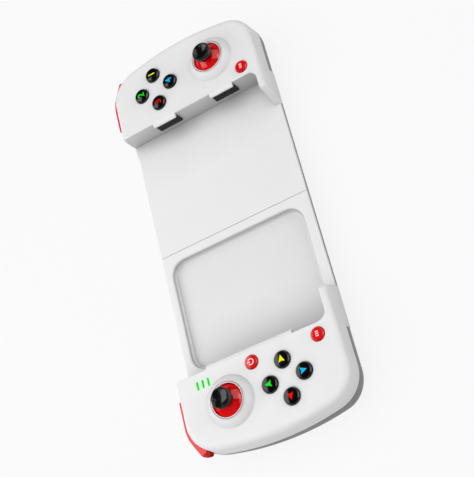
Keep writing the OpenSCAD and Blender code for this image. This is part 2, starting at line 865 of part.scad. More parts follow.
// Gimbal frame that turns about X
module stick_yoke(y) {
  translate([stick_x, y, pivot_z]) difference() {
    union() {
      block([-yoke_out, -yoke_out, -yoke_h / 2], [yoke_out, yoke_out, yoke_h / 2]);
      translate([-module_half + 0.1, 0, 0]) rotate([0, 90, 0]) cylinder(d = trunnion_d, h = 2 * module_half - 0.2);
    }
    block([-yoke_in, -yoke_in, -yoke_h], [yoke_in, yoke_in, yoke_h]);
    translate([0, far / 2, 0]) rotate([90, 0, 0]) cylinder(d = rocker_pin_d + 2 * pin_gap, h = far);
  }
}

// Block that turns about Y inside the yoke and guides the shaft
module stick_rocker(y) {
  translate([stick_x, y, pivot_z]) difference() {
    union() {
      block([-rocker_half_x, -rocker_half_y, -yoke_h / 2], [rocker_half_x, rocker_half_y, yoke_h / 2]);
      translate([0, yoke_out - 0.2, 0]) rotate([90, 0, 0]) cylinder(d = rocker_pin_d, h = 2 * yoke_out - 0.4);
    }
    translate([0, 0, -far / 2]) cylinder(d = shaft_d + 2 * pin_gap, h = far);
  }
}

module stick_shaft(y) {
  translate([stick_x, y, pivot_z - 3.5]) cylinder(d = shaft_d, h = cap_z + cap_h - 1.5 - pivot_z + 3.5);
}

module stick_dome(y) {
  translate([stick_x, y, pivot_z]) difference() {
    sphere(r = dome_r, $fn = 96);
    sphere(r = dome_r - dome_t, $fn = 96);
    cylinder(d = shaft_d + 2 * seat_gap, h = far);
    block([-far, -far, -far], [far, far, dome_skirt]);
  }
}

// Dished cap with a raised rim and four small ridges
module stick_cap(y) {
  r = cap_d / 2;
  bore = shaft_d / 2 + seat_gap;
  translate([stick_x, y, cap_z]) {
    rotate_extrude() polygon([
      [bore, 0], [r - 0.75, 0], [r, 1.5], [r, cap_h - 0.5], [r - 0.35, cap_h], [r - 0.9, cap_h - 0.1],
      [r - 1.5, cap_h - 0.8], [0, cap_h - 1], [0, cap_h - 1.45], [bore, cap_h - 1.45]
    ]);
    for (a = [0 : 90 : 270]) rotate(a) block([r - 1.9, -0.25, cap_h - 1], [r - 0.7, 0.25, cap_h - 0.2]);
  }
}

module left_stick_yoke() {
  color(steel) left() stick_yoke(left_stick_y);
}

module left_stick_rocker() {
  color(light_grey) left() stick_rocker(left_stick_y);
}

module left_stick_shaft() {
  color(steel) left() stick_shaft(left_stick_y);
}

module left_stick_dome() {
  color(red) left() stick_dome(left_stick_y);
}

module left_stick_cap() {
  color(black) left() stick_cap(left_stick_y);
}

module right_stick_yoke() {
  color(steel) stick_yoke(right_stick_y);
}

module right_stick_rocker() {
  color(light_grey) stick_rocker(right_stick_y);
}

module right_stick_shaft() {
  color(steel) stick_shaft(right_stick_y);
}

module right_stick_dome() {
  color(red) stick_dome(right_stick_y);
}

module right_stick_cap() {
  color(black) stick_cap(right_stick_y);
}

// Round push button with a flange under the face and a stem to its switch
module push_button(p, d, proud) {
  r = d / 2;
  top = face_z + proud;
  translate([p.x, p.y, 0]) rotate_extrude() polygon([
    [0, stem_end], [r - 1.6, stem_end], [r - 1.6, flange_z], [r + flange_over, flange_z],
    [r + flange_over, flange_z + flange_t], [r, flange_z + flange_t], [r, top - 0.6], [r - 0.15, top - 0.25],
    [r - 0.5, top - 0.05], [r * 0.5, top], [0, top]
  ]);
}

// Small button, with a flange that is flat on the side of the clamp wall
module small_button(y) {
  r = small_d / 2;
  top = face_z + small_proud;
  shoulder = flange_z + flange_t - cut;
  translate([small_x, y, 0]) {
    rotate_extrude() polygon([
      [0, stem_end], [r - 1.6, stem_end], [r - 1.6, shoulder], [r, shoulder], [r, top - 0.6], [r - 0.15, top - 0.25],
      [r - 0.5, top - 0.05], [r * 0.5, top], [0, top]
    ]);
    translate([0, 0, flange_z]) linear_extrude(flange_t) intersection() {
      circle(r = r + flange_over);
      translate([-small_flat, -small_d]) square(2 * small_d);
    }
  }
}

module dpad_right() {
  color(black) left() push_button(group_place(left_pad_y, 2), button_d, button_proud);
}

module dpad_up() {
  color(black) left() push_button(group_place(left_pad_y, 1), button_d, button_proud);
}

module dpad_left() {
  color(black) left() push_button(group_place(left_pad_y, 0), button_d, button_proud);
}

module dpad_down() {
  color(black) left() push_button(group_place(left_pad_y, 3), button_d, button_proud);
}

module face_button_right() {
  color(black) push_button(group_place(right_pad_y, 0), button_d, button_proud);
}

module face_button_top() {
  color(black) push_button(group_place(right_pad_y, 1), button_d, button_proud);
}

module face_button_left() {
  color(black) push_button(group_place(right_pad_y, 2), button_d, button_proud);
}

module face_button_bottom() {
  color(black) push_button(group_place(right_pad_y, 3), button_d, button_proud);
}

module home_button() {
  color(red) left() small_button(home_y);
}

module left_function_button() {
  color(red) left() small_button(function_y);
}

module right_function_button() {
  color(red) small_button(function_y);
}

// Silicone sheet with a switch dome under each button, joined by strips to the group's middle
module membrane(centre, hub, places, small_places) {
  sheet_r = 5;
  strip = 3;
  translate([0, 0, board_top]) linear_extrude(sheet_t) {
    translate(centre) circle(r = hub);
    for (p = places) {
      translate(p) circle(r = sheet_r);
      sheet_strip(centre, p, strip);
    }
    for (p = small_places) {
      translate(p) circle(r = small_flat - 0.1);
      sheet_strip(centre, p, strip);
    }
  }
  for (p = places) switch_dome(p, 3.2);
  for (p = small_places) switch_dome(p, small_flat - 0.2);
}

module sheet_strip(a, b, w) {
  v = b - a;
  translate(a) rotate(atan2(v.y, v.x)) translate([0, -w / 2]) square([norm(v), w]);
}

module switch_dome(p, r) {
  translate([p.x, p.y, sheet_top - cut]) cylinder(r1 = r, r2 = 0.6 * r, h = dome_top - sheet_top + cut);
}

module left_membrane() {
  group = [for (i = [0 : 3]) group_place(left_pad_y, i)];
  color(light_grey) left()
    membrane([stick_x, left_pad_y], 5, group, [[small_x, home_y], [small_x, function_y]]);
}

module right_membrane() {
  group = [for (i = [0 : 3]) group_place(right_pad_y, i)];
  color(light_grey) {
    membrane([stick_x, right_pad_y], 5, group, []);
    membrane([small_x + 6, function_y + 5], 3, [], [[small_x, function_y]]);
  }
}

// Centre of the grip's corner on the shoulder side
function shoulder_centre() =
  let (
    mid = (grip_y_lo + grip_y_hi) / 2,
    reach = sqrt(pow(end_bow - corner_hi, 2) - pow(grip_y_hi - corner_hi - mid, 2))
  )
  [end_x - end_bow + reach, grip_y_hi - corner_hi];

// Outer face of a bumper: it follows the side of the grip evenly and swells towards its end round the corner
function bumper_face() =
  let (
    c = shoulder_centre(),
    x0 = wall_x + bumper_start - 1,
    side = c.x - x0,
    end = side + corner_hi * bumper_turn * PI / 180,
    turn = bumper_turn + 21
  )
  concat(
    [[x0, grip_y_hi + bumper_thin]],
    [for (i = [0 : 18])
      let (
        a = turn * i / 18,
        s = side + corner_hi * a * PI / 180,
        grown = min(1, max(0, (s - end + bumper_swell) / bumper_swell)),
        r = corner_hi + bumper_thin + (bumper_proud - bumper_thin) * pow(grown, 2)
      )
      c + r * [sin(a), cos(a)]],
    [c, [x0, c.y]]
  );

// Everything beyond the slanted end of a bumper
module bumper_beyond() {
  c = shoulder_centre();
  translate([c.x, c.y, bumper_top]) rotate([0, 0, 90 - bumper_turn]) rotate([-bumper_slant, 0, 0])
    translate([0, -far, -far]) cube([2 * far, far, 2 * far]);
}

// Bumper that follows the corner of the grip, with a flange behind the wall
module bumper() {
  module band(inner, low, high) {
    translate([0, 0, low]) linear_extrude(high - low) intersection() {
      difference() {
        children();
        polygon(grip_inset(inner, wall_x));
      }
      translate([wall_x + bumper_start, bumper_end_y]) square(far);
    }
  }
  difference() {
    band(bumper_in, bumper_z, bumper_top) polygon(bumper_face());
    bumper_beyond();
  }
  band(bumper_in, bumper_z, bumper_top + 0.8) polygon(grip_inset(bumper_in - bumper_flange, wall_x));
}

module l1_bumper() {
  color(red) left() bumper();
}

module r1_bumper() {
  color(red) bumper();
}

// Trigger that swings on a pin below the bumper and follows the corner
module trigger() {
  difference() {
    intersection() {
      along_x(trigger_x, trigger_x + trigger_w) trigger_section();
      linear_extrude(back_r) polygon(grip_inset(-trigger_out, wall_x));
    }
    translate([0, pin_y, pin_z]) rotate([0, 90, 0]) cylinder(d = pin_d + 2 * pin_gap, h = 2 * far);
  }
}

module l2_trigger() {
  color(red) left() trigger();
}

module r2_trigger() {
  color(red) trigger();
}

module trigger_pin() {
  len = trigger_w + 2 * shoulder_gap + 2 * pin_rib;
  translate([trigger_x - shoulder_gap - pin_rib, pin_y, pin_z]) rotate([0, 90, 0]) cylinder(d = pin_d, h = len);
}

module left_trigger_pin() {
  color(steel) left() trigger_pin();
}

module right_trigger_pin() {
  color(steel) trigger_pin();
}

// Self-tapping screw with a round head
module screw(p, low, length) {
  translate([p.x, p.y, low]) {
    translate([0, 0, -screw_head_h]) cylinder(d = screw_head_d, h = screw_head_h);
    cylinder(d = screw_d, h = length);
  }
}

module grip_screws() {
  for (p = screw_places) screw(p, well_floor, split_z + 4 - well_floor);
}

module left_screws() {
  color(steel) left() grip_screws();
}

module right_screws() {
  color(steel) {
    grip_screws();
    for (p = slider_screws) screw(p, trough_z + 0.7, slider_top + 2.4 - trough_z - 0.7);
  }
}

// Coin vibration motor standing on the back
motor_d = 9;
motor_gap = 0.5;
motor_y = battery_place.y + battery_size.y + motor_gap + motor_d / 2;

module motor() {
  translate([stick_x, motor_y, bottom_t + seat_gap]) cylinder(d = motor_d, h = 2.2);
}

module left_vibration_motor() {
  color(steel) left() motor();
}

module right_vibration_motor() {
  color(steel) motor();
}

module slider_plate() {
  color(light_grey) {
    difference() {
      block([slider_end, tray_y_lo + bevel_lo + slider_inset, slider_z],
            [wall_x - seat_gap, tray_y_hi - bevel_hi - slider_inset, slider_top]);
      for (y = [-spring_y, spring_y]) slide_slot(y, post_d);
      slide_slot(0, ribbon_w);
      for (p = slider_screws) translate([p.x, p.y, 0]) cylinder(d = screw_d + 2 * seat_gap, h = far);
    }
    for (y = [-spring_y, spring_y]) translate([anchor_x, y, slider_top - cut]) cylinder(d = post_d, h = 3.2);
    block([anchor_x - 1, -ribbon_w / 2, slider_top - cut], [anchor_x + 1, ribbon_w / 2, slider_top + 0.9]);
  }
}

// Slot in the sliding plate for a fixed post of width w
module slide_slot(y, w) {
  g = 0.5;
  reach = 1.2 + g;
  block([post_x - slide_travel - reach, y - w / 2 - g, 0], [post_x + reach, y + w / 2 + g, far]);
}

// Tension spring wound between the fixed post and the plate's anchor
module tension_spring(y) {
  x0 = post_x + post_d / 2 + 0.1 + spring_wire / 2;
  x1 = anchor_x - post_d / 2 - 0.1 - spring_wire / 2;
  z = slider_top + 0.3 + spring_d / 2;
  sides = 6;
  r = (spring_d - spring_wire) / 2;
  rw = spring_wire / 2;
  last = spring_turns * 8;
  points = [
    for (k = [0 : last]) for (s = [0 : sides - 1])
      let (a = 45 * k, b = 360 * s / sides, out = r + rw * cos(b))
      [x0 + (x1 - x0) * k / last + rw * sin(b), y + out * cos(a), z + out * sin(a)]
  ];
  skin = [
    for (k = [0 : last - 1]) for (i = [0 : sides - 1])
      let (j = (i + 1) % sides, a = k * sides, b = a + sides)
      each [[a + j, b + j, b + i], [a + j, b + i, a + i]]
  ];
  start = [for (i = [sides - 1 : -1 : 0]) i];
  end = [for (i = [0 : sides - 1]) last * sides + i];
  polyhedron(points = points, faces = concat([start], skin, [end]), convexity = 10);
}

module slide_springs() {
  color(steel) for (y = [-spring_y, spring_y]) tension_spring(y);
}

// Pleated ribbon between the halves, fixed to the trough at one end and to the plate at the other
module flex_ribbon() {
  pleats = 8;
  t = 0.3;
  x0 = post_x + 1.1;
  x1 = anchor_x - 1.1;
  low = slider_top + 0.3;
  high = rim_z - 0.6;
  line = [for (i = [0 : 2 * pleats]) [x0 + (x1 - x0) * i / (2 * pleats), i % 2 == 0 ? low : high - t]];
  back = [for (i = [2 * pleats : -1 : 0]) line[i] + [0, t]];
  color(black) along_y(-ribbon_w / 2 + 0.5, ribbon_w / 2 - 0.5) polygon(concat(line, back));
}

module flex_tail() {
  color(black) block([-wall_x - 7, -ribbon_w / 2, floor_z - 0.4], [post_x - 2.4, ribbon_w / 2, floor_z - 0.1]);
}

left_front_shell();
left_rear_shell();
left_stick_ring();
led_light_bars();
left_clamp_pad();
left_main_board();
battery();
usb_c_port();
left_stick_module();
left_membrane();
left_trigger_pin();
left_screws();
left_vibration_motor();
flex_tail();
right_front_shell();
right_rear_shell();
slider_plate();
right_stick_ring();
right_clamp_pads();
right_board();
right_stick_module();
right_membrane();
right_trigger_pin();
right_screws();
right_vibration_motor();
slide_springs();
flex_ribbon();
dpad_right();
dpad_up();
dpad_left();
dpad_down();
face_button_right();
face_button_top();
face_button_left();
face_button_bottom();
home_button();
left_function_button();
right_function_button();
l1_bumper();
r1_bumper();
l2_trigger();
r2_trigger();
left_stick_yoke();
left_stick_rocker();
left_stick_shaft();
left_stick_dome();
left_stick_cap();
right_stick_yoke();
right_stick_rocker();
right_stick_shaft();
right_stick_dome();
right_stick_cap();
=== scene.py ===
# %% [markdown]
# # A stretch game controller for a phone
# Two white grips hold a phone between them on a sprung slide. The solids from the CAD source come in as a
# fixed frame: they know the true sizes and how each piece moves. This lesson puts finer skins over them,
# gives each one a finish, and then lights and photographs the whole. All sizes below are written in
# millimetres.

# %% Load the frame
import json
from contextlib import contextmanager
from math import radians

import bmesh
import bpy
import numpy as np
from mathutils import Matrix

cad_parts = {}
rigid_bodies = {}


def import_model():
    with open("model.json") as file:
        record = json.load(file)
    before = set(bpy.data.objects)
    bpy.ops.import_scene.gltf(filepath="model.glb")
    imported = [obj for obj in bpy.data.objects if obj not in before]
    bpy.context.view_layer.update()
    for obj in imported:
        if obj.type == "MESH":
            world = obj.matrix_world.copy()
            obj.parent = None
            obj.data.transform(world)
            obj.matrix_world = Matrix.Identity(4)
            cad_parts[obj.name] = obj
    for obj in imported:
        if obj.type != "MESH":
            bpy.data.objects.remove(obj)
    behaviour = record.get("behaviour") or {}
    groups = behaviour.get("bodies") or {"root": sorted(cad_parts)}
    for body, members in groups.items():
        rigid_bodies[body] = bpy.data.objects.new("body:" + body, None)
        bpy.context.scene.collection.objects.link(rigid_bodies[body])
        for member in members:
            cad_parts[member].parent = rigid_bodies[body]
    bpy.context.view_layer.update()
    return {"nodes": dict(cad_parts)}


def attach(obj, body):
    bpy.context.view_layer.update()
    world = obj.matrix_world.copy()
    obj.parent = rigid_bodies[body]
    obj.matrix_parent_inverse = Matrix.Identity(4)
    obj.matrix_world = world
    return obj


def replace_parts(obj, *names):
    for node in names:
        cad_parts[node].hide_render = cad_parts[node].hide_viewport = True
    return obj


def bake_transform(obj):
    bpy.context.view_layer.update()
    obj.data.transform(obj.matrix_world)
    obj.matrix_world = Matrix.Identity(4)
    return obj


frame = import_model()
MM = 0.001

# %% [markdown]
# ## Surfaces from arrays
# A moulded shell can be modelled by hand with extrudes and loop cuts, or each surface can be worked out as
# a grid of points. The grid way is chosen here because the sizes are known: change one number and the whole
# skin follows. Every maker below ends in `build`, which writes the mesh, closes its poles and seams, and
# marks the edges that stay crisp.

# %% Meshes from grids
def grid(x, y, z):
    """Points from three arrays that spread over one shared grid."""
    return np.stack(np.broadcast_arrays(x, y, z), -1)


def grid_faces(rows, cols):
    """Quads between neighbouring points of a grid whose columns close into a loop."""
    row = np.arange(rows - 1)[:, None] * cols
    col = np.arange(cols)[None, :]
    nxt = (col + 1) % cols
    return np.stack([row + col, row + nxt, row + cols + nxt, row + cols + col], -1).reshape(-1, 4).tolist()


def skin_faces(rows, cols):
    """Those quads, with a flat cap on the first row and on the last."""
    return grid_faces(rows, cols) + [list(range(cols))[::-1], list(range((rows - 1) * cols, rows * cols))]


def joined(parts):
    """Points and faces of several forms as those of one."""
    points, faces, base = [], [], 0
    for cloud, polygons in parts:
        points.append(np.reshape(cloud, (-1, 3)))
        faces += [[i + base for i in polygon] for polygon in polygons]
        base += len(points[-1])
    return np.concatenate(points), faces


@contextmanager
def editing(mesh):
    """Opens a mesh for bmesh's operations and writes it back."""
    form = bmesh.new()
    form.from_mesh(mesh)
    yield form
    form.to_mesh(mesh)
    form.free()


def smooth(mesh, sharp, turn_out=True):
    """Merges coinciding points, turns faces outwards and keeps edges steeper than `sharp` degrees crisp."""
    with editing(mesh) as form:
        bmesh.ops.remove_doubles(form, verts=form.verts, dist=1e-6)
        if turn_out:
            bmesh.ops.recalc_face_normals(form, faces=form.faces)
    mesh.shade_smooth()
    mesh.set_sharp_from_angle(angle=radians(sharp))


def build(name, points, faces, side=1, sharp=35):
    """A new object from points in millimetres; side -1 mirrors it into the left half."""
    mesh = bpy.data.meshes.new(name)
    mesh.from_pydata((np.asarray(points).reshape(-1, 3) * [side * MM, MM, MM]).tolist(), [], faces)
    smooth(mesh, sharp)
    piece = bpy.data.objects.new(name, mesh)
    bpy.context.scene.collection.objects.link(piece)
    return piece


def loft(name, rings, side=1, sharp=35):
    """A capped skin through closed rings of equal length."""
    return build(name, rings, skin_faces(*np.shape(rings)[:2]), side, sharp)


def circle(count):
    """Evenly spaced angles once round."""
    return np.linspace(0, 2 * np.pi, count, endpoint=False)


def revolve(name, profile, centre, side=1, turns=96, sharp=35):
    """Each (radius, height) of the profile turned round the vertical line through the centre."""
    radius, height = np.asarray(profile, float).T[..., None]
    turn = circle(turns)
    points = grid(centre[0] + radius * np.cos(turn), centre[1] + radius * np.sin(turn), height)
    return build(name, points, grid_faces(len(profile), turns), side, sharp)


def rod(name, radius, low, high, centre, side=1, turns=32):
    """A plain upright cylinder."""
    return revolve(name, [(0, low), (radius, low), (radius, high), (0, high)], centre, side, turns)


def prism(name, outline, low, high, axis="z", side=1):
    """An outline of two coordinates carried straight along an axis; the two are the other axes in order."""
    order = {"x": (2, 0, 1), "y": (0, 2, 1), "z": (0, 1, 2)}[axis]
    flat = np.asarray(outline, float)
    rings = [np.c_[flat, np.full(len(flat), level)][:, order] for level in (low, high)]
    return loft(name, rings, side)


def box(name, low, high, side=1):
    """A block between two corners."""
    outline = [(low[0], low[1]), (high[0], low[1]), (high[0], high[1]), (low[0], high[1])]
    return prism(name, outline, low[2], high[2], "z", side)


# %% Outlines
def polar(radius, degrees):
    """A step of the given length in a direction."""
    return radius * np.array([np.cos(radians(degrees)), np.sin(radians(degrees))])


def angles(start, end, count):
    """Evenly spaced angles between two that are given in degrees."""
    return np.radians(np.linspace(start, end, count))


def arc(x, y, radius, start, end, count):
    """Points on a circle between two angles in degrees."""
    turn = angles(start, end, count)
    return np.stack([x + radius * np.cos(turn), y + radius * np.sin(turn)], 1)


def soften(outline, radius, count=7):
    """Each corner becomes a quadratic curve that starts and ends at `radius` from it, weighted 1-2-1."""
    corner = np.asarray(outline, float)
    reach = np.broadcast_to(radius, len(corner))[:, None]
    ends = []
    for other in (np.roll(corner, 1, 0), np.roll(corner, -1, 0)):
        way = other - corner
        ends.append(corner + reach * way / np.linalg.norm(way, axis=1, keepdims=True))
    t = np.linspace(0, 1, count)[None, :, None]
    curve = (1 - t) ** 2 * ends[0][:, None] + 2 * t * (1 - t) * corner[:, None] + t ** 2 * ends[1][:, None]
    return curve.reshape(-1, 2)


def stadium(x, y, length, width):
    """A bar with round ends along its first coordinate."""
    half = (length - width) / 2
    return np.concatenate([arc(x + half, y, width / 2, -90, 90, 9), arc(x - half, y, width / 2, 90, 270, 9)])


def stack(outlines, levels):
    """Rings from flat outlines at their heights."""
    return np.stack([np.c_[line, np.full(len(line), level)] for line, level in zip(outlines, levels)])


# %% [markdown]
# ## Cutting one form with another
# Bores, pockets and slots could be modelled into the grid, but a cutter is simpler to read and to change. A
# Boolean modifier does the cut. It is applied at once, so that the object keeps a plain mesh, and Weighted
# Normal then makes the large flat faces rule the shading along the cuts.

# %% Cuts
def carve(body, tools, how="DIFFERENCE"):
    """Joins or cuts the body with each tool in turn, keeps the result as its mesh and removes the tools."""
    for tool in tools:
        cut = body.modifiers.new(tool.name, "BOOLEAN")
        cut.operation, cut.solver, cut.object = how, "MANIFOLD", tool
    solved = body.evaluated_get(bpy.context.evaluated_depsgraph_get())
    mesh = bpy.data.meshes.new_from_object(solved)
    body.modifiers.clear()
    old, body.data = body.data, mesh
    smooth(mesh, 35, turn_out=False)
    for tool in tools:
        used = tool.data
        bpy.data.objects.remove(tool)
        bpy.data.meshes.remove(used)
    bpy.data.meshes.remove(old)
    return body


def even_shading(piece):
    """Lets the larger faces lead the normals along each soft edge."""
    piece.modifiers.new("Even shading", "WEIGHTED_NORMAL").keep_sharp = True
    return piece


# %% [markdown]
# ## Shader maths
# A material is a tree of nodes. Drawing the tree in code gets long, so a small class stands for a socket: a
# sum or product of sockets adds its Math node by itself, and any other node comes from one method.

# %% A socket that can be calculated with
class Wire:
    """One output socket of a node tree."""

    def __init__(self, tree, socket=None):
        self.tree, self.socket = tree, socket

    def node(self, kind, settings, sockets, out=0):
        """Adds a node: its type, its settings, then the values or links of its sockets."""
        made = self.tree.nodes.new(kind)
        for key, value in settings.items():
            setattr(made, key, value)
        for key, value in sockets.items():
            if isinstance(value, Wire):
                self.tree.links.new(value.socket, made.inputs[key])
            else:
                made.inputs[key].default_value = value
        return Wire(self.tree, made.outputs[out] if made.outputs else None)

    def math(self, operation, first, second):
        """Adds a Math node for two values or sockets."""
        return self.node("ShaderNodeMath", {"operation": operation}, {0: first, 1: second})

    def __add__(self, other):
        return self.math("ADD", self, other)

    def __sub__(self, other):
        return self.math("SUBTRACT", self, other)

    def __mul__(self, other):
        return self.math("MULTIPLY", self, other)

    def blend(self, low, high):
        """A colour that goes from low to high as this value goes from 0 to 1."""
        return self.node("ShaderNodeMix", {"data_type": "RGBA"}, {0: self, 6: low, 7: high}, out=2)


def new_tree(owner):
    """Clears the node tree of a material or a world and returns a wire to build it from."""
    owner.use_nodes = True
    owner.node_tree.nodes.clear()
    return Wire(owner.node_tree)


def linear(*levels):
    """Screen levels from 0 to 255 as the linear colour, with full alpha, that sockets take."""
    level = np.asarray(levels) / 255
    return (*np.where(level > 0.04045, ((level + 0.055) / 1.055) ** 2.4, level / 12.92).tolist(), 1)


# %% [markdown]
# ## Finishes
# Moulded plastic is never one flat colour: the mould leaves a fine spark-eroded grain, and the sheen
# wanders a little over large faces. One function makes that kind of finish, with grain and sheen as its two
# patterns on Object coordinates, and the special finishes add their own pattern to it.
# The white finish also carries painted shade: its colour is darkened in hollows and below the tray's level.

# %% One moulded finish
# Painted shade for the white plastic: the height below which it is painted darker, by how much, and how far
# the painted shade in hollows reaches, in mm.
SHADED_BELOW_Z, PAINTED_LOW_SHADE, PAINTED_SHADE_REACH = 12.4, 0.07, 32.0
GLOW = 0.35


def finish(name, low, high, rough, grain=0.12, grain_mm=0.25, metal=0.0, shine=0.5, painted_occlusion=0.0, pattern=None,
           glow=None):
    """Colour from low to high and roughness rough +- 0.05 follow slow noise; fine noise of grain_mm bumps it.

    Colours are screen levels. The occlusion share (the argument after shine) paints shade into the hollows:
    the colour is scaled by 1 - that share in a closed corner and by 1 on an open face. Below the tray's level
    the colour is painted a little darker still, as painted shade on the pocket floor."""
    material = bpy.data.materials.new(name)
    start = new_tree(material)
    place = start.node("ShaderNodeTexCoord", {}, {}, out=3)
    slow = start.node("ShaderNodeTexNoise", {}, {"Vector": place, "Scale": 90.0, "Detail": 3.0})
    fine = start.node("ShaderNodeTexNoise", {}, {"Vector": place, "Scale": 1000 / grain_mm, "Detail": 2.0})
    height, shade, sheen = fine, slow, slow * 0.1 + (rough - 0.05)
    if pattern:
        height, shade, sheen = pattern(start, place, height, shade, sheen)
    colour = shade.blend(linear(*low), linear(*high))
    if painted_occlusion:
        # Painted shade: an occlusion term darkens the colour in hollows, and a fixed share darkens it below
        # the tray's level.
        reach = {"Distance": PAINTED_SHADE_REACH * MM}
        open_share = start.node("ShaderNodeAmbientOcclusion", {"samples": 8}, reach, out=1)
        level = start.node("ShaderNodeSeparateXYZ", {}, {0: place}, out=2)
        # Painted shade: faces below the tray's level, such as the pocket floor, are painted darker by a fixed
        # share.
        deep = start.math("LESS_THAN", level, SHADED_BELOW_Z * MM)
        painted_shade_scale = (open_share * painted_occlusion + (1 - painted_occlusion)) * (deep * -PAINTED_LOW_SHADE + 1)
        colour = start.node("ShaderNodeVectorMath", {"operation": "SCALE"}, {0: colour, 3: painted_shade_scale})
    normal = start.node("ShaderNodeBump", {}, {"Height": height, "Strength": grain, "Distance": 0.0001})
    sockets = {"Base Color": colour, "Roughness": sheen, "Normal": normal, "Metallic": metal,
               "Specular IOR Level": shine}
    if glow:
        sockets.update({"Emission Color": linear(*glow), "Emission Strength": GLOW})
    shader = start.node("ShaderNodeBsdfPrincipled", {}, sockets)
    start.node("ShaderNodeOutputMaterial", {}, {0: shader})
    return material


# %% Patterns
def stripes(start, place, step_mm, turned=0.0):
    """A wave from 0 to 1 across parallel stripes, step_mm apart."""
    mapped = start.node("ShaderNodeMapping", {}, {"Vector": place, "Rotation": (0, 0, radians(turned))})
    sockets = {"Vector": mapped, "Scale": 1000 / step_mm / 3.18}
    return start.node("ShaderNodeTexWave", {"bands_direction": "X"}, sockets, out=1)


def brushed(start, place, height, shade, sheen):
    """Fine lines along X, as on rolled sheet metal."""
    mapped = start.node("ShaderNodeMapping", {}, {"Vector": place, "Scale": (0.03, 1, 1)})
    lines = start.node("ShaderNodeTexNoise", {}, {"Vector": mapped, "Scale": 4000.0, "Detail": 2.0})
    return lines, lines, lines * 0.2 + 0.2


def tracks(start, place, height, shade, sheen):
    """Copper tracks under green lacquer: two crossing stripe patterns, cut hard."""
    across = start.math("GREATER_THAN", stripes(start, place, 1.3), 0.72)
    along = start.math("GREATER_THAN", stripes(start, place, 2.1, 90), 0.78)
    mask = start.math("MAXIMUM", across, along)
    return height + mask * 2, mask, sheen


def film_lines(start, place, height, shade, sheen):
    """Conductors that run the length of a flat ribbon."""
    mask = start.math("GREATER_THAN", stripes(start, place, 0.9, 90), 0.5)
    return height + mask, mask, sheen


def knurled_with_painted_highlights(start, place, height, shade, sheen):
    """Diamonds on an upright face: the lower of two zigzags, over Y + Z and Y - Z, gives their lines.

    The lines get the light colour as a painted highlight along the knurl.
    """
    y, z = (start.node("ShaderNodeSeparateXYZ", {}, {0: place}, out=number) for number in (1, 2))
    zigzags = [start.math("PINGPONG", way, MM) * 1000 for way in (y + z, y - z)]
    lines = start.math("LESS_THAN", start.math("MINIMUM", *zigzags), 0.28)
    return height, lines, sheen


def edge_wear(start, place, height, shade, sheen):
    """Finger polish: slow patches where the sheen is a little glossier."""
    patch = start.node("ShaderNodeTexNoise", {}, {"Vector": place, "Scale": 25.0, "Detail": 4.0})
    return height, shade, sheen - patch * 0.06


# %% The finishes by slot
FINISH = {
    # The white plastic gets painted shade in its hollows and below the tray's level.
    "white_plastic": finish("white_satin", (236, 236, 237), (240, 240, 241), 0.5, grain=0.06, painted_occlusion=0.7,
                            pattern=edge_wear),
    "dark_plastic": finish("graphite_grained", (122, 122, 124), (130, 130, 132), 0.55, grain=0.25,
                           grain_mm=0.4),
    "trim_ring": finish("trim_white", (247, 247, 248), (252, 252, 253), 0.3, grain=0.03),
    "light_guide": finish("light_green", (0, 200, 5), (0, 218, 10), 0.4, grain=0.02, shine=0.03,
                          glow=(0, 235, 10)),
    # The pad's light colour is a painted highlight along the knurl's lines.
    "pad_rubber": finish("pad_black", (4, 4, 5), (78, 78, 79), 0.7, grain=0.3, shine=0.15, pattern=knurled_with_painted_highlights),
    "silicone": finish("silicone_milky", (214, 212, 206), (226, 225, 220), 0.55),
    "circuit_board": finish("board_green", (16, 78, 42), (40, 128, 74), 0.35, pattern=tracks),
    "battery_foil": finish("battery_foil", (168, 170, 174), (196, 198, 202), 0.35, metal=0.9,
                           pattern=brushed),
    "steel": finish("steel_bright", (176, 178, 182), (206, 208, 212), 0.28, metal=1.0, pattern=brushed),
    "flex_film": finish("flex_amber", (60, 34, 16), (150, 92, 40), 0.35, pattern=film_lines),
    "grey_plastic": finish("plate_grey", (198, 199, 202), (208, 209, 212), 0.45),
    "black_gloss": finish("button_black", (3, 3, 4), (6, 6, 7), 0.09, grain=0.01),
    "red_gloss": finish("dome_red", (226, 0, 4), (236, 3, 8), 0.1, grain=0.01),
    "cap_rubber": finish("cap_black", (5, 5, 6), (10, 10, 11), 0.16, grain=0.02),
}
INKS = {name: finish("ink_" + name, low, high, 0.5, grain=0.02, shine=0.03) for name, low, high in (
    ("yellow", (248, 240, 0), (255, 248, 6)),
    ("blue", (0, 188, 240), (4, 198, 248)),
    ("green", (0, 236, 4), (6, 246, 12)),
    ("red", (238, 0, 0), (248, 4, 6)),
    ("white", (240, 240, 240), (250, 250, 250)),
)}
print("finishes:", len(FINISH) + len(INKS))


def fit(piece, body, slot, *nodes, dress=None):
    """Gives a piece its finish, the body that it moves with, and the solids that it stands for."""
    piece.data.materials.clear()
    piece.data.materials.append(dress or FINISH[slot])
    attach(piece, body)
    if nodes:
        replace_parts(piece, *nodes)
    return piece


# %% [markdown]
# ## The camera
# The picture was taken from above the lower side of the left grip with a longish lens. The camera's place
# and turn were worked out from points on the object that can be recognised in it, so they are plain numbers
# here.

# %% Camera
PLACE = np.array([-241.729, -192.795, 450.772]) * MM
RIGHT = np.array([-0.22676, -0.84308, -0.48764])
DOWN = np.array([-0.86757, 0.40239, -0.29226])
AHEAD = np.array([0.44262, 0.35679, -0.82267])


def put(thing, right, up, back, place):
    """Turns a camera or a lamp to three axes, moves it to its place and adds it to the scene."""
    pose = np.eye(4)
    pose[:3, :] = np.stack([right, up, back, place], 1)
    thing.matrix_world = Matrix(pose.tolist())
    bpy.context.scene.collection.objects.link(thing)


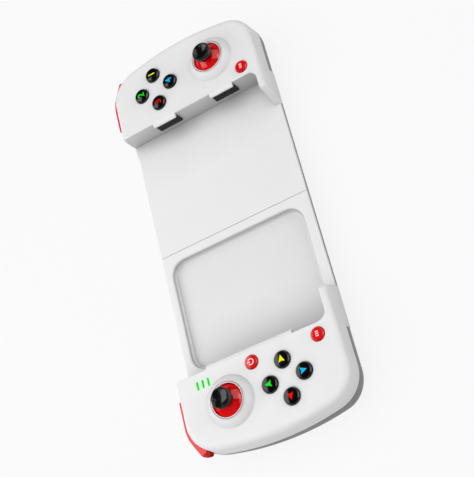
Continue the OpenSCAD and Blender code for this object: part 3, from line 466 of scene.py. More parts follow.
lens = bpy.data.cameras.new("camera")
lens.lens, lens.sensor_width, lens.sensor_fit = 82.41, 36.0, "HORIZONTAL"
lens.clip_start = 0.01
camera = bpy.data.objects.new("camera", lens)
put(camera, RIGHT, -DOWN, -AHEAD, PLACE)
bpy.context.scene.camera = camera
print("camera stands", round(float(np.linalg.norm(PLACE)), 3), "m from the middle of the underside")

# %% [markdown]
# ## The main sizes
# These repeat the CAD values. A grip is drawn right-handed: its outline has a straight inner edge at the
# clamp wall, a slightly bowed outer end and a different radius at each outer corner.

# %% Sizes and the grip's outline
WALL_X, END_X, GRIP_LO, GRIP_HI = 68.5, 109.798, -45.2, 41.6
TRAY_LO, TRAY_HI, TRAY_Z, RIM_Z = -44.6, 40.4, 13.0, 11.6
FACE_Z, ROOF_Z, SPLIT_Z, BACK_Z = 26.5, 24.9, 16.4, 15.0
END_BOW, CORNER_LO, CORNER_HI, FACE_ROUND = 140.0, 16.0, 17.0, 3.0
CORNER_X, CORNER_Y = 89.93, 24.6
TROUGH_Z, SLIDER_TOP, TROUGH_TOP = 5.0, 7.7, 11.4
FLOOR_Z = {-1: 6.2, 1: 6.5}
STICK_X, SMALL_X, GROUP_R = 87.5, 74.1, 8.8
BUTTON_R, SMALL_R, BUTTON_GAP = 3.9, 3.25, 0.15
STICK, GROUP_Y = {-1: (STICK_X, 14.6), 1: (STICK_X, -19.5)}, {-1: -15.3, 1: 14.3}
HOME_Y, FUNCTION_Y = -0.3, -34.8
SCREWS = [(80.5, 27.2), (101.8, 24.0), (83.0, -37.2), (99.9, -33.1)]
PLATE_SCREWS = [(61.45, 30.0), (61.45, -34.0)]
HALF = {-1: "left_half", 1: "right_half"}
SIDE = {-1: "left", 1: "right"}
SEAM_GAP, PART_GROOVE = 0.12, 0.12
QUARTER = np.radians([0, 22, 45, 68, 90])


def lean_at(z):
    """The clamp wall leans over the phone by 1 mm from the tray to the face."""
    return WALL_X + (FACE_Z - z) / (FACE_Z - TRAY_Z)


def grip_outline(x_in, x_end, low, high, r_low, r_high, r_in):
    """Inner corner, lower corner, bowed end, upper corner and inner corner, anticlockwise."""
    middle, bow_x = (low + high) / 2, x_end - END_BOW
    x_low = bow_x + np.sqrt((END_BOW - r_low) ** 2 - (low + r_low - middle) ** 2)
    x_high = bow_x + np.sqrt((END_BOW - r_high) ** 2 - (high - r_high - middle) ** 2)
    a_low = np.degrees(np.arctan2(low + r_low - middle, x_low - bow_x))
    a_high = np.degrees(np.arctan2(high - r_high - middle, x_high - bow_x))
    return np.concatenate([
        arc(x_in + r_in, low + r_in, r_in, 180, 270, 7),
        arc(x_low, low + r_low, r_low, -90, a_low, 25),
        arc(bow_x, middle, END_BOW, a_low, a_high, 19)[1:-1],
        arc(x_high, high - r_high, r_high, a_high, 90, 25),
        arc(x_in + r_in, high - r_in, r_in, 90, 180, 7)])


def grip_inset(inset, x_in, r_in=1.2):
    """The grip's outline drawn in evenly."""
    return grip_outline(x_in, END_X - inset, GRIP_LO + inset, GRIP_HI - inset,
                        CORNER_LO - inset, CORNER_HI - inset, r_in)


# %% [markdown]
# ## The white front shell of a grip
# The real front is one injection moulding: drafted sides, a 3 mm round where they turn into the face, and a
# clamp wall that leans over the phone. A stack of outlines gives that form exactly, with the round as
# thirteen rings. The hollow is a second, smaller stack that is cut out of the first.

# %% Grip skin and hollow
def front_skin(side):
    """Outlines drawn in by the draft, then along a quarter circle; the inner top edge has a small round."""
    draft, edge = 0.6, 0.6
    turn = angles(0, 90, 13)
    z = np.r_[SPLIT_Z, SPLIT_Z + 0.15, 20, FACE_Z - FACE_ROUND + FACE_ROUND * np.sin(turn)]
    inset = np.r_[PART_GROOVE, 0.0, draft / 2, draft + FACE_ROUND * (1 - np.cos(turn))]
    over = np.clip(z - FACE_Z + edge, 0, edge)
    x_in = lean_at(z) + edge - np.sqrt(edge ** 2 - over ** 2)
    rings = stack([grip_inset(d, x) for d, x in zip(inset, x_in)], z)
    return loft(SIDE[side] + "_front_cover", rings, side)


def front_hollow(side):
    """Room inside the front shell, 1.8 mm in from the sides and under a 1.6 mm face."""
    inner = lean_at(SPLIT_Z) + 2.4
    levels = [(SPLIT_Z - 0.1, 1.8), (FACE_Z - FACE_ROUND, 2.4), (ROOF_Z, 3.4)]
    return loft("hollow", stack([grip_inset(d, inner) for z, d in levels], [z for z, d in levels]), side)


def wall_foot(side):
    """Foot of the clamp wall between the tray and the parting line, leaning like the wall above it."""
    levels = np.array([RIM_Z, TRAY_Z, SPLIT_Z + 0.4])
    r, low, high, back_x = 1.2, GRIP_LO + 0.05, GRIP_HI - 0.05, 71.8
    rings = [np.concatenate([arc(x + r, low + r, r, 180, 270, 7), [(back_x, low), (back_x, high)],
                             arc(x + r, high - r, r, 90, 180, 7)])
             for x in lean_at(np.maximum(levels, TRAY_Z))]
    return loft("foot", stack(rings, levels), side)


# %% [markdown]
# ## Tray, guards and lips
# The tray is a thin plate with rounded edges that widens a little where it meets a grip. A side guard
# carries the lower side of the grip on along the phone and then slopes down to the tray; its section is
# worked out at every station, so that its top round fades with its height. The lips reach over the rubber
# pads.

# %% Tray plate, guard and lips
def tray_plate(side, x_start):
    """A rounded section in Y and Z carried along X; the edge at +Y flares out by 1 mm over the last 8 mm."""
    stations = np.linspace(x_start + 1, lean_at(TRAY_Z) + 0.5, 70)
    x = np.r_[x_start, x_start + 0.06, x_start + 0.2, stations][:, None]
    drop = np.r_[0.2, 0.06, np.zeros(71)][:, None]
    flare = 0.5 - 0.5 * np.cos(np.pi * np.clip((x - WALL_X + 8) / 8, 0, 1))
    corners = [(TRAY_LO, RIM_Z), (TRAY_HI, RIM_Z), (TRAY_HI, TRAY_Z), (TRAY_LO, TRAY_Z)]
    y, z = soften(corners, [0.3, 0.3, 0.7, 0.7]).T
    return loft("tray", grid(x, y + flare * (y > 0), z - drop * (z > TRAY_Z - 0.5)), side)


def guard(side, reach, ramp):
    """The section climbs along X from the tray to the face; its outer round shrinks where it is low."""
    tip, thick, edge, draft = WALL_X - reach, 3.3, 0.4, 0.6
    x = np.linspace(tip - ramp, lean_at(TRAY_Z) + 1, 60)[:, None]
    top = np.interp(x, [tip - ramp, tip - 1, tip - 0.4, tip + 0.3, tip + 1.5],
                    [TRAY_Z, FACE_Z - 1.6, FACE_Z - 0.6, FACE_Z - 0.15, FACE_Z])
    rounding = np.minimum(FACE_ROUND, 0.6 * (top - RIM_Z))
    knee = top - rounding
    outer = GRIP_LO + draft * np.clip((knee - SPLIT_Z) / (FACE_Z - FACE_ROUND - SPLIT_Z), 0, 1)
    inner = GRIP_LO + thick + (top - RIM_Z) / (FACE_Z - RIM_Z)
    turn = angles(0, 90, 11)
    bend = angles(90, 0, 5)
    flat = 0 * top
    y = np.hstack([flat + GRIP_LO + thick, flat + GRIP_LO, flat + GRIP_LO,
                   outer + rounding * (1 - np.cos(turn)), inner - edge + edge * np.cos(bend)])
    z = np.hstack([flat + RIM_Z, flat + RIM_Z, np.minimum(knee, SPLIT_Z),
                   knee + rounding * np.sin(turn), top - edge + edge * np.sin(bend)])
    return loft("guard", grid(x, y, z), side)


def guard_root(side):
    """Hollow fillet between guard and clamp wall: a corner with a quarter circle cut out of it."""
    r, levels, rings = 4.5, np.array([RIM_Z, FACE_Z - 0.01]), []
    for x, y in zip(lean_at(levels), GRIP_LO + 3.1 + (levels - RIM_Z) / (FACE_Z - RIM_Z)):
        corner = [(x + 0.9, y + r), (x + 0.9, y - 0.5), (x - r, y - 0.5)]
        rings.append(np.concatenate([arc(x - r, y + r, r, -90, 0, 13), corner]))
    return loft("root", stack(rings, levels), side)


def lip(side, y, width):
    """A rounded nose over a pad, drawn in X and Z and carried along Y, smaller at its two ends."""
    root = np.array([69.6, 25.4])
    nose = np.array([(69.6, 26.49), (68.6, 26.49), (67.7, 26.3), (66.95, 25.95), (66.56, 25.5),
                     (66.5, 25.15), (66.6, 24.85), (66.95, 24.65), (68.5, 24.3), (69.6, 24.3)])
    along = y + width * np.array([-0.5, -0.5, 0.5, 0.5]) + np.array([0, 0.25, -0.25, 0])
    scale = np.array([0.88, 1.0, 1.0, 0.88])[:, None, None]
    section = root + (nose - root) * scale
    return loft("lip", grid(section[..., 0], along[:, None], section[..., 1]), side)


# %% [markdown]
# ## Stick collar, bores and slots
# Each stick rises out of a soft cone that swells from the face: a slightly bulging flank with a small
# fillet at its foot, turned round the stick's axis. The cutters for the buttons have a flared mouth, so the
# cut leaves the tiny round that a mould leaves at every bore.

# %% Collar and cutters
RING_Z, RING_IN, RING_OUT, DOME_R, DOME_GAP = 29.0, 7.9, 8.8, 11.0, 0.4
PIVOT_Z = RING_Z - np.sqrt((DOME_R + DOME_GAP) ** 2 - RING_IN ** 2)
COLLAR_R, COLLAR_TOP = 8.95, 29.6
FLANK_R, FLANK_START, FLANK_END, FILLET_R = 11.0, 61.0, 38.3, 0.8
FLANK = np.array([COLLAR_R, COLLAR_TOP]) - polar(FLANK_R, FLANK_START)
BUMPER_DEEP, BUMPER_END_Y = 3.8, 32.3


def collar(side):
    """A flank of a large radius from the ring's seat down to the face, then a fillet that runs out on it."""
    flank = arc(*FLANK, FLANK_R, FLANK_START, FLANK_END, 17)
    middle = FLANK + polar(FLANK_R + FILLET_R, FLANK_END)
    foot = arc(*middle, FILLET_R, 180 + FLANK_END, 270, 9)
    base = [(0, 25.3), (foot[-1, 0], 25.3)]
    profile = np.concatenate([base, foot[::-1], flank[::-1], [(0, COLLAR_TOP)]])
    return revolve("collar", profile, STICK[side], side, turns=128)


def stick_room(side):
    """A ball round the pivot with a neck, and the seat of the trim ring above it."""
    ball = arc(0, PIVOT_Z, DOME_R + DOME_GAP, -90, 44, 40)
    neck_r, seat_r, seat_z = RING_IN + 0.2, RING_OUT + 0.06, RING_Z - 0.05
    neck = [(neck_r, RING_Z - 0.2), (neck_r, seat_z), (seat_r, seat_z), (seat_r, 40), (0, 40)]
    return revolve("room", np.concatenate([ball, neck]), STICK[side], side, turns=128)


def bore(side, x, y, radius):
    """A bore with a small round at its mouth."""
    r, deep, out = 0.3, ROOF_Z - 1.4, FACE_Z + 3
    mouth = [(radius + r - r * np.cos(a), FACE_Z - r + r * np.sin(a)) for a in QUARTER]
    profile = [(0, deep), (radius, deep), *mouth, (radius + r, out), (0, out)]
    return revolve("bore", profile, (x, y), side, turns=64)


def group_places(side):
    """Centres of the four round buttons, at +X, +Y, -X and -Y of a right-handed group."""
    turn = np.radians([0, 90, 180, 270])
    return np.stack([STICK_X + GROUP_R * np.cos(turn), GROUP_Y[side] + GROUP_R * np.sin(turn)], 1)


def bumper_slot(side):
    """Everything outside an inner line of the grip's corner, up to just above the bumper."""
    line = arc(CORNER_X, CORNER_Y, CORNER_HI - BUMPER_DEEP, 90, 36, 15)
    outside = [(130, BUMPER_END_Y), (130, 70), (76.9, 70), (76.9, GRIP_HI - BUMPER_DEEP)]
    outline = np.concatenate([outside, line, [(100.6, BUMPER_END_Y)]])
    return prism("slot", outline, SPLIT_Z - 0.1, 22.9, "z", side)


# %% [markdown]
# ## The camera pocket
# Half of the tray is a shallow pocket for the phone's camera block. Its cutter is a stack of rounded
# rectangles: a flared rim, a ledge two millimetres down, and a floor with a small fillet round it.

# %% Pocket
def pocket_ring(inset):
    """The pocket's outline, a rounded rectangle drawn in by inset."""
    r = 8 - inset
    x0, x1, y0, y1 = 3.4 + inset, 62.4 - inset, TRAY_LO + 5.5 + inset, TRAY_HI - 4 - inset
    return np.concatenate([arc(x, y, r, start, start + 90, 15) for x, y, start in (
        (x0 + r, y0 + r, 180), (x1 - r, y0 + r, 270), (x1 - r, y1 - r, 0), (x0 + r, y1 - r, 90))])


def pocket_cutter(side):
    """Fillet, ledge, wall and rounded rim from the bottom up; at the seam the ledge runs out in a fillet."""
    foot_r, rim_r, ledge_z = 0.9, 1.1, 11.2
    foot = [(9.2 + foot_r * (1 - np.cos(a)), 1.2 + foot_r * (1 - np.sin(a))) for a in QUARTER]
    rim = [(TRAY_Z - rim_r * (1 - np.sin(a)), -rim_r * (1 - np.cos(a))) for a in angles(0, 90, 9)]
    wall = [(10.3, 1.16), (10.42, 1.08), (11.0, 0.3), (ledge_z, 0.12), (11.4, 0.06)]
    levels = [*foot, *wall, *rim, (15, -rim_r)]
    rings = []
    for z, inset in levels:
        plain = min(inset, 2.1 - 1.98 * np.sqrt(1 - np.clip((ledge_z - z) / 2, 0, 1) ** 2))
        ledge = pocket_ring(inset)
        far = np.clip((14 - ledge[:, :1]) / 8, 0, 1)
        rings.append((1 - far) * ledge + far * pocket_ring(plain))
    return loft("pocket", stack(rings, [z for z, inset in levels]), side)


# %% [markdown]
# ## Putting a front shell together
# The order matters: first the hollow, then everything that is moulded on, and then every opening, so that
# the openings also go through what was added.

# %% Front shells
PADS = {-1: [(0.2, 46.4)], 1: [(14.3, 13.6), (-20.5, 13.6)]}
PAD_LO, PAD_MID, PAD_HI, PAD_PROUD, PAD_DEEP = 18.0, 21.0, 24.0, 1.2, 1.0
GUARDS = {-1: (15, 3), 1: (10, 6)}
SMALL = {-1: {"home_button": HOME_Y, "left_function_button": FUNCTION_Y},
         1: {"right_function_button": FUNCTION_Y}}
LIGHT_X, LIGHT_L, LIGHT_W, LIGHT_GAP = 74.7, 4.2, 1.1, 0.1
LIGHT_Y = [26.25 + i * 2.95 for i in (-1, 0, 1)]


def pad_recess(side, y, width):
    """Block that the pad sits in."""
    x, half, gap = lean_at(PAD_MID), width / 2, 0.05
    return box("recess", (x - PAD_PROUD, y - half - gap, PAD_LO - gap),
               (x + PAD_DEEP + gap, y + half + gap, PAD_HI + gap), side)


def front_shell(side):
    """Skin, hollow, additions and openings of one front moulding."""
    shell = carve(front_skin(side), [front_hollow(side)])
    seam = -1.5 if side < 0 else 1.5 + SEAM_GAP
    added = [wall_foot(side), tray_plate(side, seam), guard(side, *GUARDS[side]), guard_root(side),
             collar(side)]
    added += [lip(side, *pad) for pad in PADS[side]]
    added += [rod("boss", 2.4, SPLIT_Z, ROOF_Z + 0.2, place, side) for place in SCREWS]
    if side < 0:
        added.append(prism("tub", pocket_ring(-1.2), 8.0, 12.6, "z", side))
    carve(shell, added, "UNION")
    cutters = [stick_room(side), bumper_slot(side)]
    cutters += [bore(side, x, y, BUTTON_R + BUTTON_GAP) for x, y in group_places(side)]
    cutters += [bore(side, SMALL_X, y, SMALL_R + BUTTON_GAP) for y in SMALL[side].values()]
    cutters += [pad_recess(side, *pad) for pad in PADS[side]]
    cutters += [rod("hole", 1.05, 14, 21.4, place, side, 24) for place in SCREWS]
    if side < 0:
        cutters.append(pocket_cutter(side))
        slit = LIGHT_L + LIGHT_GAP, LIGHT_W + LIGHT_GAP
        cutters += [prism("slit", stadium(LIGHT_X, y, *slit), 24, 30, "z", side) for y in LIGHT_Y]
    carve(shell, cutters)
    return fit(even_shading(shell), HALF[side], "white_plastic", SIDE[side] + "_front_shell")


for side in (-1, 1):
    made = front_shell(side)
    print(made.name, len(made.data.polygons), "faces")

# %% [markdown]
# ## The dark back
# Under the parting line each grip is a quarter round in graphite plastic that draws in below the triggers.
# The long tray sits on a bevelled trough of the same moulding. Rings again make the round, and the wells,
# the trigger's room and the charging port are cut into it.

# %% Back of a grip
TRIGGER_X, TRIGGER_W, PIN_Y, PIN_Z = 84.0, 15.0, 34.0, 12.2
BEVEL_LO, BEVEL_HI, TROUGH_WALL = 4.6, 3.4, 1.3
SEAT_Y, SILL_Y, SILL_Z, SEAT_Z = 29.0, 33.0, 6.2, 8.2
PORT_X, PORT_Z, PORT_L, PORT_W = 76.83, 11.72, 9.34, 3.66
HEAD_Z, PLATE_HEAD_Z, SHANK_R = 8.0, 5.7, 1.05


def back_rings(wall, past):
    """A quarter circle up to the side, then straight; `wall` moves it in and `past` runs it on upwards."""
    turn = angles(90, 0, 19)
    groove = PART_GROOVE * (past == 0)
    z = np.r_[wall + (BACK_Z - wall) * (1 - np.sin(turn)), SPLIT_Z - 0.15, SPLIT_Z + past]
    inset = np.r_[wall + (BACK_Z - wall) * (1 - np.cos(turn)), wall, wall + groove]
    deep = np.clip((BACK_Z - z) / BACK_Z, 0, 1)
    return stack([grip_outline(lean_at(TRAY_Z) + 0.7 * d, END_X - 0.8 * d, GRIP_LO + d, GRIP_HI - d - 7 * p,
                               CORNER_LO - d, CORNER_HI - 0.95 * d, 1.2 + 3 * p)
                  for d, p in zip(inset, deep)], z)


def trough_outline(high):
    """Outer section of the trough with softened bevels, in Y and Z."""
    low = TROUGH_Z
    corners = [(TRAY_LO + BEVEL_LO, low), (TRAY_HI - BEVEL_HI, low), (TRAY_HI, low + BEVEL_HI),
               (TRAY_HI, high), (TRAY_LO, high), (TRAY_LO, low + BEVEL_LO)]
    return soften(corners, [1.2, 1.0, 0.9, 0.15, 0.15, 0.9])


def trough_hollow(low):
    """The same section drawn in by the wall, open at the top."""
    slant, rise, top = TROUGH_WALL * np.sqrt(2), low - TROUGH_Z, 20
    knee = TROUGH_Z + slant - TROUGH_WALL
    return [(TRAY_LO + BEVEL_LO + slant - rise, low), (TRAY_HI - BEVEL_HI - slant + rise, low),
            (TRAY_HI - TROUGH_WALL, knee + BEVEL_HI), (TRAY_HI - TROUGH_WALL, top),
            (TRAY_LO + TROUGH_WALL, top), (TRAY_LO + TROUGH_WALL, knee + BEVEL_LO)]


def trough(side):
    """The long channel under the left tray, or the short skirt round its end on the right."""
    if side < 0:
        high, reach, inside = TROUGH_TOP, (-WALL_X - 2, 54.0), (-WALL_X, 60.0)
    else:
        high, reach, inside = 11.55, (54.4, WALL_X + 2), (50.0, WALL_X)
    form = prism("trough", trough_outline(high), *reach, "x")
    return carve(form, [prism("inside", trough_hollow(FLOOR_Z[side]), *inside, "x")])


def trigger_seat(side):
    """Sill and two ribs that carry the trigger's pin, cut off at the outer round of the grip."""
    back_y = SEAT_Y - 1.2
    sill = [(back_y, 0.5), (SILL_Y, 0.5), (SILL_Y, SILL_Z), (SEAT_Y, SEAT_Z), (SEAT_Y, 13.1), (back_y, 13.1)]
    seat = prism("seat", sill, TRIGGER_X - 2.3, TRIGGER_X + TRIGGER_W + 2.3, "x", side)
    carve(seat, [box("rib", (x, 30.0, SEAT_Z), (x + 2, 35.6, 14.7), side) for x in (81.7, 99.3)], "UNION")
    return carve(seat, [loft("outside", back_rings(0.02, 0), side)], "INTERSECT")


def back_openings(side):
    """Cutters for the slide's mouth, the tray above it, the trigger, the screws and the charging port."""
    room = [(SEAT_Y, 15.05), (SEAT_Y, SEAT_Z), (SILL_Y, SILL_Z), (SILL_Y, -1.0), (60.0, -1.0), (60.0, 15.05)]
    well = [(0, -1), (2.3, -1), (2.0, 2.0), (2.0, HEAD_Z), (SHANK_R, HEAD_Z), (SHANK_R, 30), (0, 30)]
    top = (WALL_X - 4, TRAY_LO - 2, TROUGH_TOP), (lean_at(TRAY_Z) + 2.6, TRAY_HI + 2, 30)
    cutters = [box("mouth", (WALL_X - 0.1, -32.0, FLOOR_Z[side]), (WALL_X + 4.7, 23.8, 10.4), side),
               box("top", *top, side),
               prism("trigger_room", room, TRIGGER_X - 0.3, TRIGGER_X + TRIGGER_W + 0.3, "x", side)]
    cutters += [revolve("well", well, place, side, 32) for place in SCREWS]
    if side < 0:
        return cutters + [prism("port", stadium(PORT_X, PORT_Z, PORT_L, PORT_W), 35.0, 60.0, "y", side)]
    recess = [(0, 0), (1.9, 0), (1.9, PLATE_HEAD_Z), (SHANK_R, PLATE_HEAD_Z), (SHANK_R, 30), (0, 30)]
    return cutters + [revolve("recess", recess, place, 1, 24) for place in PLATE_SCREWS]


# %% Back shells
SPRING_Y = (-25.0, 25.0)


def back_shell(side):
    """Outer round and inner round, trough, towers and seat, the openings, and the posts for the springs."""
    shell = loft(SIDE[side] + "_back_cover", back_rings(0, 0), side)
    carve(shell, [loft("inside", back_rings(1.8, 0.3), side)])
    added = [trough(side), box("neck", (WALL_X, -34.0, TROUGH_Z), (WALL_X + 4.6, 25.8, TROUGH_TOP), side)]
    added += [rod("tower", 2.9, 6.5, SPLIT_Z - 0.05, place, side) for place in SCREWS]
    added.append(trigger_seat(side))
    carve(shell, added, "UNION")
    carve(shell, back_openings(side))
    if side < 0:
        post = [(0, 6.1), (1.2, 6.1), (1.2, 10.7), (1.0, 10.9), (0, 10.9)]
        posts = [revolve("post", post, (45.0, y), 1, 32) for y in SPRING_Y]
        carve(shell, posts + [box("clip", (44.0, -4.5, 6.1), (46.0, 4.5, 8.6))], "UNION")
    return fit(even_shading(shell), HALF[side], "dark_plastic", SIDE[side] + "_rear_shell")


for side in (-1, 1):
    made = back_shell(side)
    print(made.name, len(made.data.polygons), "faces")

# %% [markdown]
# ## Round buttons
# The eight action buttons are glossy black discs with a slightly crowned top and a soft shoulder; the three
# small ones are red. One profile turned round an axis makes each, down to the flange and stem that sit
# inside.

# %% Buttons
CROWN_R = 34.0
TOP, SMALL_TOP = FACE_Z + 1.6, FACE_Z + 1.0
GROUP = {-1: ("dpad_left", "dpad_up", "dpad_right", "dpad_down"),
         1: ("face_button_right", "face_button_top", "face_button_left", "face_button_bottom")}


def crown(radius, top):
    """Height of a button's crowned top at a distance from its middle."""
    return top - (CROWN_R - np.sqrt(CROWN_R ** 2 - radius ** 2))


def button(name, side, place, radius, flange, top, slot):
    """Stem, flange, wall, a shoulder of two small rounds with a slope between them, and the crowned top."""
    shoulder, shaft = radius - 0.55, radius - 1.6
    rim = crown(shoulder, top)
    flat = np.linspace(shoulder * 0.95, 0, 8)
    stem = [(0, 20.4), (shaft, 20.4), (shaft, 23.5), (flange, 23.5), (flange, 24.7), (radius, 24.7)]
    profile = np.concatenate([
        stem, arc(radius - 0.12, rim - 0.5, 0.12, 0, 40, 4), arc(shoulder, rim - 0.1, 0.1, 45, 84, 4),
        np.stack([flat, crown(flat, top)], 1)])
    return fit(revolve(name + "_top", profile, place, side, 72, sharp=50), name + "_body", slot, name)


for side in (-1, 1):
    for name, place in zip(GROUP[side], group_places(side)):
        button(name, side, place, BUTTON_R, BUTTON_R + 0.9, TOP, "black_gloss")
    for name, y in SMALL[side].items():
        button(name, side, (SMALL_X, y), SMALL_R, SMALL_R + 0.2, SMALL_TOP, "red_gloss")
print("buttons: 11")

# %% [markdown]
# ## Printed marks
# The direction buttons carry notched arrowheads, the others plain numerals and signs, in coloured ink. A
# print has almost no thickness, so each mark is a thin plate that follows the crown of its button.

# %% Drawing marks
INK_H = 0.05


def printed(owner, mark, drawn, place, top, ink):
    """A flat drawing laid on a button: its points take the crown's height, with a copy below as underside."""
    flat, faces = drawn
    count = len(flat)
    z = crown(np.linalg.norm(flat, axis=1), top)
    points = np.concatenate([np.c_[flat + place, z + INK_H], np.c_[flat + place, z - INK_H]])
    edges = dict.fromkeys((a, b) for face in faces for a, b in zip(face, face[1:] + face[:1]))
    under = [[i + count for i in face[::-1]] for face in faces]
    walls = [[b, a, a + count, b + count] for a, b in edges if (b, a) not in edges]
    piece = build(owner + mark, points, faces + under + walls)
    piece.data.materials.append(INKS[ink])
    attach(piece, owner + "_body")
    return piece


def arrowhead(heading):
    """A notched dart with softened corners, turned to its heading, as triangles round its middle."""
    dart = soften([(2.0, 0), (-1.4, 1.6), (-0.95, 0), (-1.4, -1.6)], [0.1, 0.1, 0.3, 0.1], 4)
    turn, count = radians(heading), len(dart)
    outline = dart @ np.array([[np.cos(turn), np.sin(turn)], [-np.sin(turn), np.cos(turn)]])
    return np.vstack([outline, (0, 0)]), [[i, (i + 1) % count, count] for i in range(count)]


def strip(line, width):
    """A band of even width along a line: the line shifted to both sides along its normal."""
    line = np.asarray(line, float)
    way = np.gradient(line, axis=0)
    normal = np.stack([-way[:, 1], way[:, 0]], 1) / np.linalg.norm(way, axis=1, keepdims=True)
    count = len(line)
    faces = [[i, i + 1, count + i + 1, count + i] for i in range(count - 1)]
    return np.vstack([line - normal * width / 2, line + normal * width / 2]), faces


def numeral(digit, size):
    """A digit from the built-in font as a flat mesh of small triangles, centred on its own box."""
    curve = bpy.data.curves.new("digit", "FONT")
    curve.body, curve.size, curve.offset = digit, size, 0.08
    holder = bpy.data.objects.new("digit", curve)
    bpy.context.scene.collection.objects.link(holder)
    mesh = bpy.data.meshes.new_from_object(holder.evaluated_get(bpy.context.evaluated_depsgraph_get()))
    with editing(mesh) as form:
        bmesh.ops.subdivide_edges(form, edges=form.edges, cuts=3, use_grid_fill=True)
        bmesh.ops.triangulate(form, faces=form.faces)
    flat = np.array([v.co[:2] for v in mesh.vertices])
    faces = [list(p.vertices) for p in mesh.polygons]
    for store, data in ((bpy.data.objects, holder), (bpy.data.curves, curve), (bpy.data.meshes, mesh)):
        store.remove(data)
    return flat - (flat.min(0) + flat.max(0)) / 2, faces


# %% Marks
ARROWS = {"dpad_right": (0, "yellow"), "dpad_up": (90, "green"), "dpad_left": (180, "red"),
          "dpad_down": (270, "blue")}
LEFT_GROUP = {name: place * [-1, 1] for name, place in zip(GROUP[-1], group_places(-1))}
for name, (heading, ink) in ARROWS.items():
    printed(name, "_mark", arrowhead(heading), LEFT_GROUP[name], TOP, ink)
for name, place, digit, ink in zip(GROUP[1], group_places(1), "1234", ("yellow", "green", "red", "blue")):
    printed(name, "_mark", numeral(digit, 5.4), place, TOP, ink)
for mark, line in (("_ring_mark", arc(0, 0, 1.35, 125, 415, 40)),
                   ("_bar_mark", [(0, 0.2), (0, 1.0), (0, 1.75)])):
    printed("home_button", mark, strip(line, 0.42), (-SMALL_X, HOME_Y), SMALL_TOP, "white")
for side in (-1, 1):
    for i in (-1, 0, 1):
        tick = strip([(i, -0.75), (i, 0), (i, 0.75)], 0.45)
        printed(SIDE[side] + "_function_button", f"_mark_{i + 2}", tick, (side * SMALL_X, FUNCTION_Y),
                SMALL_TOP, "white")
print("marks: 16")

# %% [markdown]
# ## Thumb sticks
# A stick is a glossy red dome with a black rubber cap on a steel shaft, inside a white trim ring. The dome
# and the ring are plain turned profiles. The cap's dish has four small grip ridges, so its height is a
# function of both radius and angle, which is just what a grid of two parameters gives.

# %% Sticks
CAP_Z, CAP_R, CAP_H = PIVOT_Z + DOME_R + 1.1, 5.05, 3.1
GROOVE_IN, GROOVE_OUT, GROOVE_DEEP = 8.34, 8.62, 0.6
SHAFT_BORE, RIDGE_W = 1.56, 0.32


def trim_ring(side):
    """A flat ring with rounded edges and one groove in its top, and a black ring in the groove as painted
    shade.
    """
    top, place = RING_Z + 1.1, STICK[side]
    ring = [(RING_IN, RING_Z), (RING_IN, top - 0.14), (RING_IN + 0.04, top - 0.04), (RING_IN + 0.1, top),
            (GROOVE_IN - 0.01, top), (GROOVE_IN, top - GROOVE_DEEP), (GROOVE_OUT, top - GROOVE_DEEP),
            (GROOVE_OUT + 0.01, top), (RING_OUT - 0.06, top), (RING_OUT - 0.01, top - 0.04),
            (RING_OUT, top - 0.1), (RING_OUT, RING_Z), (RING_IN, RING_Z)]
    piece = revolve(SIDE[side] + "_trim", ring, place, side, 128, sharp=50)
    fit(piece, HALF[side], "trim_ring", SIDE[side] + "_stick_ring")
    # Painted shade: a black glossy ring fills the groove and stands for its shadow.
    inner, outer, low, high = GROOVE_IN + 0.01, GROOVE_OUT - 0.01, top - GROOVE_DEEP + 0.02, top - 0.06
    painted_groove_shade = [(inner, low), (outer, low), (outer, high), (inner, high), (inner, low)]
    fit(revolve(SIDE[side] + "_seal", painted_groove_shade, place, side, 128), HALF[side], "dark_plastic",
        dress=FINISH["black_gloss"])
    return piece


def dome(side):
    """Outer and inner sphere from the shaft's bore down to the skirt."""
    outer, inner = arc(0, PIVOT_Z, DOME_R, 82, 23, 40), arc(0, PIVOT_Z, DOME_R - 1, 24, 80, 24)
    high, low = (SHAFT_BORE, PIVOT_Z + 10.9), (SHAFT_BORE, PIVOT_Z + 9.9)
    profile = np.concatenate([[high], outer, inner, [low, high]])
    piece = revolve(SIDE[side] + "_dome_skin", profile, STICK[side], side, 128)
    return fit(piece, SIDE[side] + "_stick_body", "red_gloss", SIDE[side] + "_stick_dome")


def cap(side):
    """Profile from the underside over the rim into the dish; four ridges run from the rim into the dish."""
    r, dish_r = CAP_R, CAP_R - 0.95
    under = [(0, 1.66), (SHAFT_BORE, 1.65), (1.58, 0.05), (1.75, 0.0), (r - 1.0, 0.0)]
    flank = [(r - 0.72, 0.12), (r - 0.5, 0.5), (r - 0.14, 1.3), (r, 1.75), (r, 2.3)]
    rim = arc(r - 0.42, CAP_H - 0.42, 0.42, 0, 160, 11)
    reach = np.linspace(dish_r, 0, 26)
    dish = np.stack([reach, CAP_H - 0.36 - 0.78 * (1 - (reach / dish_r) ** 2)], 1)
    profile = np.concatenate([under, flank, rim, dish])
    turn = circle(192)
    radius, height = profile.T[..., None]
    across = radius * np.sin(2 * turn) / 2
    crest = np.clip(1 - (across / RIDGE_W) ** 2, 0, 1) * np.clip((radius - 2.9) / 0.3, 0, 1)
    is_dish = (np.arange(len(profile)) >= len(profile) - len(dish))[:, None]
    height = np.where(is_dish, height + (CAP_H - 0.08 - height) * crest, height)
    x, y = STICK[side]
    points = grid(x + radius * np.cos(turn), y + radius * np.sin(turn), CAP_Z + height)
    piece = build(SIDE[side] + "_cap_skin", points, grid_faces(len(profile), len(turn)), side, sharp=60)
    return fit(piece, SIDE[side] + "_stick_body", "cap_rubber", SIDE[side] + "_stick_cap")


for side in (-1, 1):
    for make in (trim_ring, dome, cap):
        print(make(side).name)

